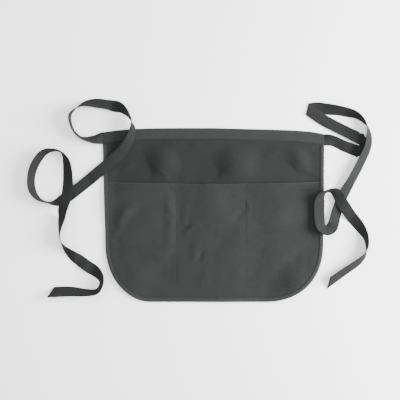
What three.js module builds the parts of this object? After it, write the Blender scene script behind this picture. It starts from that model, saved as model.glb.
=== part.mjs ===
// Waist apron with a three-bay pocket, bound edges and two loose ties, lying face up on a table.
// Millimetres, +Z up. The waistband runs along X, the apron hangs towards -Y, the table is z = 0
// and the origin is the middle of the waistband's underside.

import * as THREE from 'three';

// Driving sizes

const apronWidth = 487;
const apronDrop = 370;              // middle of the waistband to the bottom edge
const clothThickness = 1;
const seamGap = 0.4;                // between sewn layers, and between pieces that touch

const bandWidth = 24;
const leftBandDroop = 9.5;          // how far each end of the waistband sinks below its middle
const rightBandDroop = 14;

const leftSideTaper = 6;            // how far each side runs inwards on its way down
const rightSideTaper = 2.5;
const leftCorner = { width: 101, height: 123, power: 1.95 };
const rightCorner = { width: 135, height: 135, power: 2.3 };
const bindingWidth = 8;

const pocketDepth = 264;            // bottom edge to the ends of the mouth
const mouthDip = 4.5;               // the mouth's middle hangs lower than its ends
const bayDivisions = [0.325, 0.645];
const bayRise = 9;
const hemDepth = 15;
const hemThickness = 0.8;
const settleWidth = 26;             // how soon the panel sinks to the table beside a seam
const foldRise = 5;                 // full height of the panel's and the pocket's folds
const edgeRise = 6;                 // full height of the waves that lift an edge

const tieWidth = 25;
const tieThickness = 1.6;
const leftTieUnit = 220;            // the tie tables' columns across and up are hundredths of it
const rightTieUnit = 220;
const crossingReach = 16;           // how soon a tie climbs to what it crosses
const stationStep = 10;             // between two sections of a tie
const cornerPitch = 30;             // between the two creases of the right tie's square turn

const clothColour = '#484c4a';
const pocketColour = '#4b4f4d';
const tapeColour = '#555856';
const clothRoughness = 0.93;

// Folds and waves: the middle as shares of the apron's width and drop, the run's direction in
// degrees from +X, half the length and half the breadth as shares of the width, and the height
// as a share of the rise.

const foldColumns = ['across', 'down', 'run', 'length', 'breadth', 'rise'];

const panelFolds = readTable(foldColumns, [
  [0.325, 0.20, 92, 0.130, 0.085, 0.85],
  [0.645, 0.20, 88, 0.130, 0.085, 0.90],
  [0.110, 0.17, 70, 0.100, 0.060, 0.45],
  [0.900, 0.18, 65, 0.110, 0.060, 0.55],
]);

const pocketFolds = readTable(foldColumns, [
  [0.095, 0.46, 45, 0.105, 0.045, 0.60],
  [0.715, 0.72, 69, 0.210, 0.060, 1.00],
  [0.325, 0.55, 90, 0.180, 0.050, 0.45],
  [0.200, 0.80, 35, 0.130, 0.060, 0.60],
  [0.520, 0.80, 80, 0.120, 0.060, 0.40],
]);

const edgeWaves = readTable(foldColumns, [
  [0.930, 0.90, 47, 0.250, 0.160, 1.00],
  [0.150, 0.92, 135, 0.180, 0.150, 0.60],
  [0.010, 0.42, 90, 0.120, 0.120, 0.40],
  [0.990, 0.33, 90, 0.090, 0.120, 0.30],
  [0.520, 1.00, 0, 0.170, 0.130, 0.40],
]);

// Loose ties: each row is a place on the tie's middle line, from the waistband's end. Bank is the
// turn about the line of travel in degrees, with 0 flat and 90 on edge, and lift counts tie
// layers. A fold row ends a straight run: 1 folds back over it, -1 beneath it.

const tieColumns = ['across', 'up', 'bank', 'lift', 'fold'];

const leftTieRows = readTable(tieColumns, [
  [0, 0, 0],
  [-8.2, -1.6, 40],
  [-21.3, 0.1, 78],
  [-29.5, 8.5, 85],
  [-32.5, 21.5, 84],
  [-28.5, 27.5, 92],
  [-18.5, 33.5, 118],
  [-7, 34.5, 146],
  [7, 32.6, 160],
  [18.7, 29.7, 218],
  [26, 22.5, 252],
  [29.2, 12.8, 238],
  [26.8, 2.3, 218],
  [19.8, -12.7, 200],
  [1, -29.7, 195],
  [-23.7, -50, 190],
  [-35, -58.5, 192],
  [-44.5, -63.9, 222],
  [-53.5, -64.6, 264],
  [-63.5, -61, 256],
  [-70, -52, 240],
  [-70.9, -38.5, 237],
  [-67, -26, 234],
  [-58.5, -15, 242],
  [-49.8, -12.3, 258],
  [-41.5, -14.2, 262],
  [-36.2, -24, 226],
  [-34.7, -43.7, 203],
  [-36, -60, 198],
  [-40.3, -78, 224],
  [-42.7, -94, 256],
  [-41.5, -103.5, 276],
  [-33.4, -114.3, 315],
  [-16.5, -127.3, 338],
  [-5, -135.5, 392],
  [-0.9, -143.5, 431],
  [-5, -152.6, 435],
  [-15, -154.3, 420],
  [-32, -153.2, 397],
  [-51.9, -153.9, 390],
]);

const rightTieRows = readTable(tieColumns, [
  [0, 0, 0],
  [8, -0.9, 26],
  [20.2, -6.5, 24],
  [30, -10, 4],
  [38.2, -13.2, 0, 0, 1],
  [41.6, -1.6, 180, 1.75, 1],
  [35.8, 0.9, 360],
  [23.4, 7.4, 370],
  [10.6, 13.8, 368, 0.4],
  [-2.1, 20.5, 360, 1],
  [-11.7, 27, 360, 1],
  [-16.4, 30.6, 360, 1, -1],
  [-7.2, 32, 540],
  [1.7, 30.8, 550],
  [13.2, 29.2, 575],
  [23.4, 27, 582],
  [32, 24, 602],
  [38.6, 18.5, 622],
  [42.6, 13, 642],
  [44.1, 5, 665],
  [42.8, -6.5, 675],
  [36.1, -22.5, 681],
  [27, -40, 684],
  [18.2, -56, 700],
  [12.5, -71, 702],
  [8.5, -84, 708],
  [6, -89.3, 740],
  [1, -91.6, 774],
  [-3.4, -88, 768],
  [-5.2, -78, 746],
  [-5.4, -65, 746],
  [-4, -56.5, 764],
  [0, -52.2, 796],
  [5.8, -50.6, 788],
  [11.4, -53.4, 755],
  [17, -62.4, 738],
  [25, -74, 732],
  [34.5, -86, 752],
  [41, -98, 790],
  [42, -107.6, 810],
  [40.3, -114.2, 830],
  [34.5, -121, 848],
  [20, -131.2, 856],
  [4, -142.6, 860],
]);

const leftEndSlant = 31;            // how far each tie's cut end leans from square, in degrees
const rightEndSlant = -38;

// Small helpers

function readTable(columns, rows) {
  return rows.map((row) => Object.fromEntries(columns.map((name, i) => [name, row[i] ?? 0])));
}

function lerp(a, b, k) {
  return a + (b - a) * k;
}

function smooth(k) {
  const q = Math.min(Math.max(k, 0), 1);
  return q * q * (3 - 2 * q);
}

function hump(q) {
  return Math.abs(q) < 1 ? (1 + Math.cos(Math.PI * q)) / 2 : 0;
}

function steps(from, to, count) {
  return Array.from({ length: count }, (_, i) => lerp(from, to, i / count));
}

// Outline: the waistband's middle line, the two sides, the bottom edge and the mouth

const halfWidth = apronWidth / 2;
const bandHeight = 3 * clothThickness + 2 * seamGap;
const boundHeight = 4 * clothThickness + 3 * seamGap;
const mouthHeight = pocketDepth - apronDrop;

function bandMiddle(x) {
  const k = Math.min(Math.abs(x) / halfWidth, 1);
  if (x < 0) return -leftBandDroop * k ** 4.5;
  return -rightBandDroop * (0.45 * k + 0.55 * k ** 8);
}

function sideTaper(y) {
  return smooth(-y / apronDrop * 1.3);
}

function leftEdge(y) {
  return -halfWidth + leftSideTaper * sideTaper(y);
}

function rightEdge(y) {
  return halfWidth - rightSideTaper * sideTaper(y);
}

function across(s, y, inset) {
  return lerp(leftEdge(y) + inset, rightEdge(y) - inset, s);
}

function cornerShare(corner, inset) {
  return (corner.width - inset) / (apronWidth - 2 * inset);
}

function bottomEdge(s, inset) {
  const isLeft = s < 0.5;
  const corner = isLeft ? leftCorner : rightCorner;
  const k = Math.min((isLeft ? s : 1 - s) / cornerShare(corner, inset), 1);
  const climb = 1 - (1 - (1 - k) ** corner.power) ** (1 / corner.power);
  return -apronDrop + inset + (corner.height - inset) * climb;
}

function mouthEdge(s) {
  return mouthHeight - mouthDip * Math.sin(Math.PI * s);
}

function edgeDistance(x, y) {
  const left = x - leftEdge(y);
  const right = rightEdge(y) - x;
  const side = Math.min(left, right);
  const corner = left < right ? leftCorner : rightCorner;
  const a = 1 - side / corner.width;
  const b = 1 - (y + apronDrop) / corner.height;
  if (a <= 0 || b <= 0) return Math.min(side, y + apronDrop);
  const sum = a ** corner.power + b ** corner.power;
  const radius = lerp(corner.height, corner.width, a ** corner.power / sum);
  return (1 - sum ** (1 / corner.power)) * radius;
}

// Heights: waves lift every layer alike, the panel settles between its seams, and the pocket
// arches over each bay

function foldHeight(folds, x, y) {
  let height = 0;
  for (const fold of folds) {
    const turn = THREE.MathUtils.degToRad(fold.run);
    const dx = x + halfWidth - fold.across * apronWidth;
    const dy = y + fold.down * apronDrop;
    const along = dx * Math.cos(turn) + dy * Math.sin(turn);
    const aside = dy * Math.cos(turn) - dx * Math.sin(turn);
    const shape = hump(along / (fold.length * apronWidth)) * hump(aside / (fold.breadth * apronWidth));
    height += fold.rise * shape;
  }
  return height;
}

function belowBand(x, y) {
  return bandMiddle(x) - bandWidth / 2 - y;
}

function seamFree(x, y) {
  const nearest = Math.min(edgeDistance(x, y) - bindingWidth, belowBand(x, y));
  return smooth((nearest - seamGap) / settleWidth);
}

function waveHeight(x, y) {
  return edgeRise * foldHeight(edgeWaves, x, y) * smooth(belowBand(x, y) / (3 * bandWidth));
}

function panelHeight(x, y) {
  const free = seamFree(x, y);
  const layer = (clothThickness + seamGap) * (1 - free);
  return waveHeight(x, y) + layer + foldRise * free * foldHeight(panelFolds, x, y);
}

function bayArch(s, y) {
  const seam = (bindingWidth + seamGap) / apronWidth;
  const stops = [seam, ...bayDivisions, 1 - seam];
  const bay = stops.findIndex((stop, i) => s >= stop && s < stops[i + 1]);
  if (bay < 0 || bay === stops.length - 1) return 0;
  const middle = (stops[bay] + stops[bay + 1]) / 2;
  const half = (stops[bay + 1] - stops[bay]) / 2;
  const room = (y + apronDrop) / pocketDepth;
  return hump((s - middle) / half) ** 0.75 * smooth(room * 1.35);
}

function pocketHeight(s, x, y) {
  const free = seamFree(x, y);
  const arch = bayRise * bayArch(s, y) * free;
  const puckers = foldRise * free * foldHeight(pocketFolds, x, y);
  return panelHeight(x, y) + clothThickness + seamGap + arch + puckers;
}

function hemHeight(s, x, y) {
  const below = mouthEdge(s) - y;
  return hemThickness * seamFree(x, y) * smooth((hemDepth - below) / 2 + 1);
}

// What a tie lies on: the top of the apron at a place, or the table. The margin widens the
// apron, so that a tie clears its edge between two places that are tested.

function apronTop(x, y, margin) {
  const inside = edgeDistance(x, y);
  const below = belowBand(x, y);
  if (inside < -margin || below < -bandWidth - margin) return 0;
  if (below < margin) return bandHeight;
  if (inside < bindingWidth + margin) {
    const isPocket = y < mouthHeight + bandWidth / 2;
    return waveHeight(x, y) + (isPocket ? boundHeight : bandHeight);
  }
  const s = (x - leftEdge(y)) / (rightEdge(y) - leftEdge(y));
  if (y < mouthEdge(s) + margin) return pocketHeight(s, x, y) + clothThickness + hemThickness;
  return panelHeight(x, y) + clothThickness;
}

// Closed meshes

function closedMesh(points, faces, name, colour) {
  const corners = faces.flatMap(([a, b, c]) => [points[a], points[b], points[c]]);
  let volume = 0;
  for (let i = 0; i < corners.length; i += 3) {
    volume += corners[i].dot(corners[i + 1].clone().cross(corners[i + 2]));
  }
  const turned = volume < 0 ? faces.map(([a, b, c]) => [a, c, b]) : faces;
  const geometry = new THREE.BufferGeometry();
  const positions = points.flatMap((point) => point.toArray());
  geometry.setAttribute('position', new THREE.Float32BufferAttribute(positions, 3));
  geometry.setIndex(turned.flat());
  geometry.computeVertexNormals();
  const material = new THREE.MeshStandardMaterial({
    color: colour,
    roughness: clothRoughness,
    metalness: 0,
  });
  const mesh = new THREE.Mesh(geometry, material);
  mesh.name = name;
  return mesh;
}

// A sheet with a top and an underside over one grid of rows and columns
function sheetMesh(rows, name, colour) {
  const columns = rows[0].length;
  const count = rows.length * columns;
  const under = rows.flat().map(({ x, y, low }) => new THREE.Vector3(x, y, low));
  const top = rows.flat().map(({ x, y, high }) => new THREE.Vector3(x, y, high));
  const faces = [];
  for (let r = 0; r + 1 < rows.length; r++) {
    for (let c = 0; c + 1 < columns; c++) {
      const a = r * columns + c;
      const b = a + columns;
      faces.push([a, b, a + 1], [a + 1, b, b + 1]);
      faces.push([a + count, a + 1 + count, b + count], [a + 1 + count, b + 1 + count, b + count]);
    }
  }
  const rim = [];
  for (let c = 0; c < columns; c++) rim.push(c);
  for (let r = 1; r < rows.length; r++) rim.push(r * columns + columns - 1);
  for (let c = columns - 2; c >= 0; c--) rim.push((rows.length - 1) * columns + c);
  for (let r = rows.length - 2; r > 0; r--) rim.push(r * columns);
  rim.forEach((a, i) => {
    const b = rim[(i + 1) % rim.length];
    faces.push([a, b, a + count], [b, b + count, a + count]);
  });
  return closedMesh([...under, ...top], faces, name, colour);
}

// A loft through sections of equal length, with both ends closed by the given triangles. The two
// skins of a wall are split along the same diagonal, so that they stay apart where it twists.
function loftMesh(sections, endFaces, name, colour) {
  const size = sections[0].length;
  const last = (sections.length - 1) * size;
  const faces = endFaces.map(([a, b, c]) => [a, c, b]);
  for (let i = 0; i < last; i += size) {
    for (let k = 0; k < size; k++) {
      const a = i + k;
      const b = i + (k + 1) % size;
      const isUnderside = k % 4 === 0;
      if (isUnderside) faces.push([a, b, b + size], [a, b + size, a + size]);
      else faces.push([a, b, a + size], [b, b + size, a + size]);
    }
  }
  faces.push(...endFaces.map(([a, b, c]) => [a + last, b + last, c + last]));
  return closedMesh(sections.flat(), faces, name, colour);
}

const channelEnds = [[0, 1, 2], [0, 2, 3], [0, 3, 4], [0, 4, 7], [7, 4, 5], [7, 5, 6]];
const strapEnds = [[0, 1, 2], [0, 2, 3]];

// The folded tape that holds an edge: pairs of depth from the edge and height
function channelSection(width, height) {
  const wall = clothThickness;
  return [
    [0, 0], [width, 0], [width, wall], [wall, wall],
    [wall, height - wall], [width, height - wall], [width, height], [0, height],
  ];
}

// Panel and pocket: one grid of places, with columns closer together at the round corners

function cornerColumns(corner, inset, count) {
  const share = cornerShare(corner, inset);
  return steps(0, 1, count).map((k) => share * (1 - Math.cos(k * Math.PI / 2)));
}

function sheetColumns(inset) {
  const leftShare = cornerShare(leftCorner, inset);
  const rightShare = cornerShare(rightCorner, inset);
  const [first, second] = bayDivisions;
  const fromRight = cornerColumns(rightCorner, inset, 8).map((s) => 1 - s).reverse();
  return [
    ...cornerColumns(leftCorner, inset, 7),
    ...steps(leftShare, first, 4),
    ...steps(first, second, 10),
    ...steps(second, 1 - rightShare, 3),
    1 - rightShare,
    ...fromRight,
  ];
}

const sheetInset = clothThickness + seamGap + 0.1;
const columnShares = sheetColumns(sheetInset);
const upperRows = 9;
const lowerRows = 19;

function panelTopEdge(s) {
  const x = across(s, 0, sheetInset);
  return bandMiddle(x) + bandWidth / 2 - clothThickness - seamGap;
}

function panelRow(k, isUpper) {
  return columnShares.map((s) => {
    const from = isUpper ? panelTopEdge(s) : mouthEdge(s);
    const to = isUpper ? mouthEdge(s) : bottomEdge(s, sheetInset);
    const y = lerp(from, to, k);
    const x = across(s, y, sheetInset);
    return { s, x, y };
  });
}

const hemShare = hemDepth / pocketDepth;
const boundShare = 1.25 * bindingWidth / pocketDepth;
const lowerShares = [
  0, hemShare * 0.85, hemShare * 1.15,
  ...steps(hemShare * 2, 1 - 2.4 * boundShare, lowerRows - 6),
  1 - 2.4 * boundShare, 1 - boundShare, 1,
];

function makePanel() {
  const upper = steps(0, 1, upperRows).map((k) => panelRow(k, true));
  const lower = lowerShares.map((k) => panelRow(k, false));
  const rows = [...upper, ...lower].map((row) => row.map(({ x, y }) => {
    const low = panelHeight(x, y);
    return { x, y, low, high: low + clothThickness };
  }));
  return sheetMesh(rows, 'panel', clothColour);
}

function makePocket() {
  const rows = lowerShares.map((k) => panelRow(k, false).map(({ s, x, y }) => {
    const low = pocketHeight(s, x, y);
    return { x, y, low, high: low + clothThickness + hemHeight(s, x, y) };
  }));
  return sheetMesh(rows, 'pocket', pocketColour);
}

// Binding: folded tape round the sides and the bottom, from one end of the waistband to the other

function bindingPath() {
  const startHeight = (side) => bandMiddle(side * halfWidth) - bandWidth / 2 - seamGap;
  const sideHeights = (s, from) => [
    ...steps(from, mouthEdge(s), upperRows),
    ...lowerShares.map((k) => lerp(mouthEdge(s), bottomEdge(s, 0), k)),
  ];
  const left = sideHeights(0, startHeight(-1)).map((y) => new THREE.Vector2(leftEdge(y), y));
  const right = sideHeights(1, startHeight(1)).map((y) => new THREE.Vector2(rightEdge(y), y));
  const bottom = sheetColumns(0).slice(1, -1).map((s) => {
    const y = bottomEdge(s, 0);
    return new THREE.Vector2(across(s, y, 0), y);
  });
  return [...left, ...bottom, ...right.reverse()];
}

function makeBinding() {
  const path = bindingPath();
  const sections = path.map((place, i) => {
    const before = path[Math.max(i - 1, 0)];
    const after = path[Math.min(i + 1, path.length - 1)];
    const travel = after.clone().sub(before).normalize();
    const inward = new THREE.Vector2(-travel.y, travel.x);
    const isPocket = place.y < mouthEdge(0) + seamGap;
    return channelSection(bindingWidth, isPocket ? boundHeight : bandHeight).map(([depth, z]) => {
      const x = place.x + inward.x * depth;
      const y = place.y + inward.y * depth;
      return new THREE.Vector3(x, y, z + waveHeight(x, y));
    });
  });
  return loftMesh(sections, channelEnds, 'binding', tapeColour);
}

// Waistband: folded tape over the panel's top edge

function makeWaistband() {
  const sections = [...steps(-halfWidth, halfWidth, 28), halfWidth].map((x) =>
    channelSection(bandWidth, bandHeight).map(([depth, z]) =>
      new THREE.Vector3(x, bandMiddle(x) + bandWidth / 2 - depth, z)));
  return loftMesh(sections, channelEnds, 'waistband', tapeColour);
}

// Ties: a smooth line through each run of rows, then laid down on what is beneath

function runCurve(rows) {
  const chords = [0];
  for (let i = 1; i < rows.length; i++) {
    chords.push(chords[i - 1] + Math.hypot(rows[i].x - rows[i - 1].x, rows[i].y - rows[i - 1].y));
  }
  const slope = (name, i) => {
    const before = Math.max(i - 1, 0);
    const after = Math.min(i + 1, rows.length - 1);
    return (rows[after][name] - rows[before][name]) / (chords[after] - chords[before]);
  };
  return (i, k) => {
    const chord = chords[i + 1] - chords[i];
    const value = (name) => {
      const rise = rows[i + 1][name] - rows[i][name];
      const a = slope(name, i) * chord;
      const b = slope(name, i + 1) * chord;
      return rows[i][name] + k * (a + k * (3 * rise - 2 * a - b + k * (a + b - 2 * rise)));
    };
    return { x: value('x'), y: value('y'), bank: value('bank'), lift: value('lift') };
  };
}

function runStations(rows) {
  const curve = runCurve(rows);
  const stations = [];
  for (let i = 0; i + 1 < rows.length; i++) {
    const chord = Math.hypot(rows[i + 1].x - rows[i].x, rows[i + 1].y - rows[i].y);
    const count = Math.max(Math.round(chord / stationStep), 1);
    stations.push(...steps(0, 1, count).map((k) => curve(i, k)));
  }
  stations.push(curve(rows.length - 2, 1));
  stations.forEach((station, i) => {
    const before = stations[Math.max(i - 1, 0)];
    const after = stations[Math.min(i + 1, stations.length - 1)];
    station.travel = new THREE.Vector3(after.x - before.x, after.y - before.y, 0).normalize();
  });
  return stations;
}

// The half rib from the middle line to the left edge, leaning forward by its slant
function setRib(station) {
  const bank = THREE.MathUtils.degToRad(station.bank);
  const left = new THREE.Vector3(-station.travel.y, station.travel.x, 0);
  station.rib = left.multiplyScalar(Math.cos(bank))
    .add(new THREE.Vector3(0, 0, Math.sin(bank)))
    .addScaledVector(station.travel, station.slant)
    .multiplyScalar(tieWidth / 2);
  station.rest = tieWidth / 2 * Math.abs(Math.sin(bank))
    + tieThickness / 2 * Math.abs(Math.cos(bank));
  station.skin = tieThickness / 2 / Math.max(Math.abs(Math.cos(bank)), 0.35);
}

// Both runs at a fold share one rib, along the crease that mirrors one travel into the other
function setCrease(last, first) {
  const out = last.travel.clone().sub(first.travel).normalize();
  const crease = new THREE.Vector3(-out.y, out.x, 0);
  const left = new THREE.Vector3(-last.travel.y, last.travel.x, 0);
  last.slant = crease.dot(last.travel) / crease.dot(left) * Math.cos(last.bank * Math.PI / 180);
  first.slant = last.slant;
  last.out = out;
}

// Ease the slants of a run from one end's value to the other's over a tie's width
function easeSlants(stations) {
  const length = stations.at(-1).at - stations[0].at;
  const reach = Math.min(tieWidth * 1.2, length);
  const startSlant = stations[0].slant;
  const endSlant = stations.at(-1).slant;
  for (const station of stations) {
    const fromStart = (station.at - stations[0].at) / reach;
    const fromEnd = (stations.at(-1).at - station.at) / reach;
    station.slant = startSlant * Math.max(1 - fromStart, 0) + endSlant * Math.max(1 - fromEnd, 0);
  }
}

function surfaceAt(x, y, a, b) {
  const corners = [
    [a.x + a.rib.x, a.y + a.rib.y, a.z + a.rib.z], [a.x - a.rib.x, a.y - a.rib.y, a.z - a.rib.z],
    [b.x - b.rib.x, b.y - b.rib.y, b.z - b.rib.z], [b.x + b.rib.x, b.y + b.rib.y, b.z + b.rib.z],
  ];
  let highest = 0;
  for (const [p, q, r] of [[0, 1, 2], [0, 2, 3]].map((set) => set.map((i) => corners[i]))) {
    const area = (q[0] - p[0]) * (r[1] - p[1]) - (r[0] - p[0]) * (q[1] - p[1]);
    if (Math.abs(area) < 1e-6) continue;
    const u = ((q[0] - x) * (r[1] - y) - (r[0] - x) * (q[1] - y)) / area;
    const v = ((r[0] - x) * (p[1] - y) - (p[0] - x) * (r[1] - y)) / area;
    const w = 1 - u - v;
    if (Math.min(u, v, w) < -0.02) continue;
    highest = Math.max(highest, u * p[2] + v * q[2] + w * r[2] + Math.max(a.skin, b.skin));
  }
  return highest;
}

function isBeneath(station, other) {
  if (other.run === station.run) return station.at - other.at > 2 * tieWidth;
  return !(station.foldIn < 0 && other.run === station.run - 1 && other.lift > 0);
}

// Places across a tie, as shares of its half width; the outermost are just past its edges
const ribTests = [-1.2, ...steps(-1, 1, 10), 1, 1.2];

// How high a station has to be to clear everything beneath it, here and half a step either way
function neededHeight(station, index, stations) {
  const margin = station.at > 2 * tieWidth ? tieWidth / 6 : 0;
  let needed = 0;
  for (const ahead of [-stationStep / 2, 0, stationStep / 2]) {
    for (const k of ribTests) {
      const x = station.x + k * station.rib.x + ahead * station.travel.x;
      const y = station.y + k * station.rib.y + ahead * station.travel.y;
      const ribHeight = Math.min(Math.max(k, -1), 1) * station.rib.z;
      let top = apronTop(x, y, margin);
      for (let i = 0; i < index; i++) {
        const other = stations[i];
        const next = stations[i + 1];
        if (next.run !== other.run || next === station) continue;
        if (!isBeneath(station, next)) continue;
        if (Math.hypot(other.x - x, other.y - y) > 2 * tieWidth) continue;
        top = Math.max(top, surfaceAt(x, y, other, next));
      }
      if (top > 0) needed = Math.max(needed, top + seamGap + station.skin - ribHeight);
    }
  }
  return needed;
}

// The raise of a run: spread to both sides of each place that needs it, then averaged
function smoothRaise(stations) {
  const within = (station) => stations.filter((s) => Math.abs(s.at - station.at) <= crossingReach);
  for (const station of stations) {
    station.spread = Math.max(...within(station).map((near) => near.raise));
  }
  for (const station of stations) {
    const near = within(station);
    const weights = near.map((s) => hump((s.at - station.at) / (crossingReach * 1.01)));
    const total = weights.reduce((sum, weight) => sum + weight, 0);
    const raised = near.reduce((sum, s, i) => sum + s.spread * weights[i], 0);
    station.eased = raised / total;
  }
}

function layTie(stations, startRaise) {
  const pitch = tieThickness + seamGap;
  for (const station of stations) station.z = station.rest;
  for (let pass = 0; pass < 4; pass++) {
    stations.forEach((station, i) => {
      const needed = neededHeight(station, i, stations);
      station.raise = Math.max(needed - station.rest, 0);
    });
    stations[0].raise = startRaise;
    for (const run of new Set(stations.map((station) => station.run))) {
      smoothRaise(stations.filter((station) => station.run === run));
    }
    for (const station of stations) {
      station.z = station.rest + Math.max(station.eased, station.lift * pitch);
    }
  }
}

function tieStations(rows, start, unit, endSlant) {
  const places = rows.map((row) => ({
    ...row,
    x: start.x + row.across * unit / 100,
    y: start.y + row.up * unit / 100,
  }));
  const runs = [[]];
  for (const place of places) {
    runs.at(-1).push(place);
    if (place.fold === 0) continue;
    const lift = place.fold < 0 ? 0 : place.lift;
    runs.push([{ ...place, bank: place.bank + 180, lift, foldIn: place.fold }]);
  }
  const stations = [];
  runs.forEach((run, number) => {
    if (number > 0 && run.length === 2) squareTurn(run, runs[number + 1]);
    const made = runStations(run);
    for (const station of made) {
      station.run = number;
      station.foldIn = run[0].foldIn ?? 0;
      station.slant = 0;
    }
    stations.push(made);
  });
  let at = 0;
  for (const run of stations) {
    run.forEach((station, i) => {
      if (i > 0) at += Math.hypot(station.x - run[i - 1].x, station.y - run[i - 1].y);
      station.at = at;
    });
  }
  const first = stations[0][0];
  first.slant = first.travel.y / first.travel.x;
  for (let i = 0; i + 1 < stations.length; i++) setCrease(stations[i].at(-1), stations[i + 1][0]);
  stations.at(-1).at(-1).slant = Math.tan(THREE.MathUtils.degToRad(endSlant));
  stations.forEach(easeSlants);
  stations.flat().forEach(setRib);
  return stations.flat();
}

// The short run between two creases keeps its direction and takes its length from the pitch
function squareTurn(run, nextRun) {
  const [from, to] = run;
  const length = Math.hypot(to.x - from.x, to.y - from.y);
  to.x = from.x + (to.x - from.x) * cornerPitch / length;
  to.y = from.y + (to.y - from.y) * cornerPitch / length;
  nextRun[0].x = to.x;
  nextRun[0].y = to.y;
}

function strapSection(centre, rib, travel) {
  const normal = travel.clone().cross(rib).normalize().multiplyScalar(tieThickness / 2);
  return [
    centre.clone().add(rib).sub(normal),
    centre.clone().sub(rib).sub(normal),
    centre.clone().sub(rib).add(normal),
    centre.clone().add(rib).add(normal),
  ];
}

// A half turn round the crease from the end of one run to the start of the next
function creaseSections(last, first, count) {
  const rise = first.z - last.z;
  const radius = Math.abs(rise) / 2;
  return [...steps(0, 1, count), 1].map((k) => {
    const turn = Math.PI * k;
    const centre = new THREE.Vector3(last.x, last.y, last.z)
      .addScaledVector(last.out, radius * Math.sin(turn));
    centre.z += rise * (1 - Math.cos(turn)) / 2;
    const travel = last.out.clone().multiplyScalar(Math.cos(turn));
    travel.z = Math.sign(rise) * Math.sin(turn);
    return strapSection(centre, last.rib, travel);
  });
}

function makeTie(stations, name) {
  const sections = [];
  stations.forEach((station, i) => {
    const before = stations[i - 1]?.run === station.run ? stations[i - 1] : station;
    const after = stations[i + 1]?.run === station.run ? stations[i + 1] : station;
    const travel = new THREE.Vector3(after.x - before.x, after.y - before.y, after.z - before.z);
    const isFoldEnd = station.out !== undefined;
    const isFoldStart = stations[i - 1]?.out !== undefined;
    if (isFoldEnd) sections.push(...creaseSections(station, stations[i + 1], 4));
    if (isFoldEnd || isFoldStart) return;
    const centre = new THREE.Vector3(station.x, station.y, station.z);
    sections.push(strapSection(centre, station.rib, travel));
  });
  return loftMesh(sections, strapEnds, name, tapeColour);
}

function tieStart(side) {
  return { x: side * (halfWidth + seamGap), y: bandMiddle(side * halfWidth) };
}

const startRaise = (bandHeight - tieThickness) / 2;

function makeLeftTie() {
  const stations = tieStations(leftTieRows, tieStart(-1), leftTieUnit, leftEndSlant);
  layTie(stations, startRaise);
  return makeTie(stations, 'tie_left');
}

function makeRightTie() {
  const stations = tieStations(rightTieRows, tieStart(1), rightTieUnit, rightEndSlant);
  layTie(stations, startRaise);
  return makeTie(stations, 'tie_right');
}

const apron = new THREE.Group();
apron.add(makePanel(), makePocket(), makeBinding(), makeWaistband(), makeLeftTie(), makeRightTie());

export default apron;
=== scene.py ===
# Waist apron lying face up: cloth panel, three-bay pocket, bound edges, waistband and loose ties.
# Metres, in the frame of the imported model.

import math

import bpy
import numpy as np
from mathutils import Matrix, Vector


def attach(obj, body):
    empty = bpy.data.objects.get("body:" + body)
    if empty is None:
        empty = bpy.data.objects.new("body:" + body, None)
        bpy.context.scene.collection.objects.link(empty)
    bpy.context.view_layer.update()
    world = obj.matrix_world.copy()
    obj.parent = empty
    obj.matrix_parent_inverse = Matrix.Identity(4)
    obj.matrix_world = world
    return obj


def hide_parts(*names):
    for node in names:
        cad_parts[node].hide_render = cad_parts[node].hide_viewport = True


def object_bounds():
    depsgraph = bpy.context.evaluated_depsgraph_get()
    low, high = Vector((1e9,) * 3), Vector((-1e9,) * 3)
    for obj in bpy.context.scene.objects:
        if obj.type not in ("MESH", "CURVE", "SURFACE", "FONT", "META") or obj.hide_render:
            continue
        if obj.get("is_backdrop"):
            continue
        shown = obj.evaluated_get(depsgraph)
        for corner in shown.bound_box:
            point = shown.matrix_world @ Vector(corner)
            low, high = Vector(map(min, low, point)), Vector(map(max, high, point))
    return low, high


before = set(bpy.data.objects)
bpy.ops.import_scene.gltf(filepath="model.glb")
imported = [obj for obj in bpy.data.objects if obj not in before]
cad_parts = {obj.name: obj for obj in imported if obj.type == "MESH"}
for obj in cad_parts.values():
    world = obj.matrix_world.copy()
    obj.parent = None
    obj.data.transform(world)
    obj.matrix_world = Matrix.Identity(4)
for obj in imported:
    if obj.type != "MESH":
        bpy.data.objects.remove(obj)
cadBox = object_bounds()
print("frame loaded:", sorted(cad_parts))

mm = 0.001
scene = bpy.context.scene


# Small helpers

def mix(a, b, k):
    return a + (b - a) * k


def smooth(k):
    q = np.clip(k, 0.0, 1.0)
    return q * q * (3.0 - 2.0 * q)


def hump(q):
    return np.where(np.abs(q) < 1.0, (1.0 + np.cos(np.pi * np.clip(q, -1.0, 1.0))) / 2.0, 0.0)


def softNoise(x, y, size, seed):
    # smooth lattice noise from -1 to 1, with cells of the given size
    cells, shift = 64, 1000.0
    table = np.random.default_rng(seed).uniform(-1.0, 1.0, (cells, cells))
    u, v = np.asarray(x) / size + shift, np.asarray(y) / size + shift
    iu, iv = np.floor(u).astype(int), np.floor(v).astype(int)
    fu, fv = smooth(u - iu), smooth(v - iv)
    corner = lambda a, b: table[(iu + a) % cells, (iv + b) % cells]
    low = mix(corner(0, 0), corner(1, 0), fu)
    high = mix(corner(0, 1), corner(1, 1), fu)
    return mix(low, high, fv)


def layeredNoise(x, y, size, seed, layers=3):
    total = 0.0
    for i in range(layers):
        total = total + softNoise(x, y, size / 2.0 ** i, seed + i) / 2.0 ** i
    return total


def spacedPoints(stops, steps):
    # points between stops, with each stretch divided into steps of about the given size
    points = []
    for start, end, step in zip(stops[:-1], stops[1:], steps):
        count = max(int(round(abs(end - start) / step)), 1)
        points.extend(np.linspace(start, end, count, endpoint=False))
    points.append(stops[-1])
    return np.array(points)


def lengthsAlong(points):
    # how far along a line each of its points lies
    steps = np.linalg.norm(np.diff(points, axis=0), axis=1)
    return np.concatenate([[0], np.cumsum(steps)])


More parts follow.
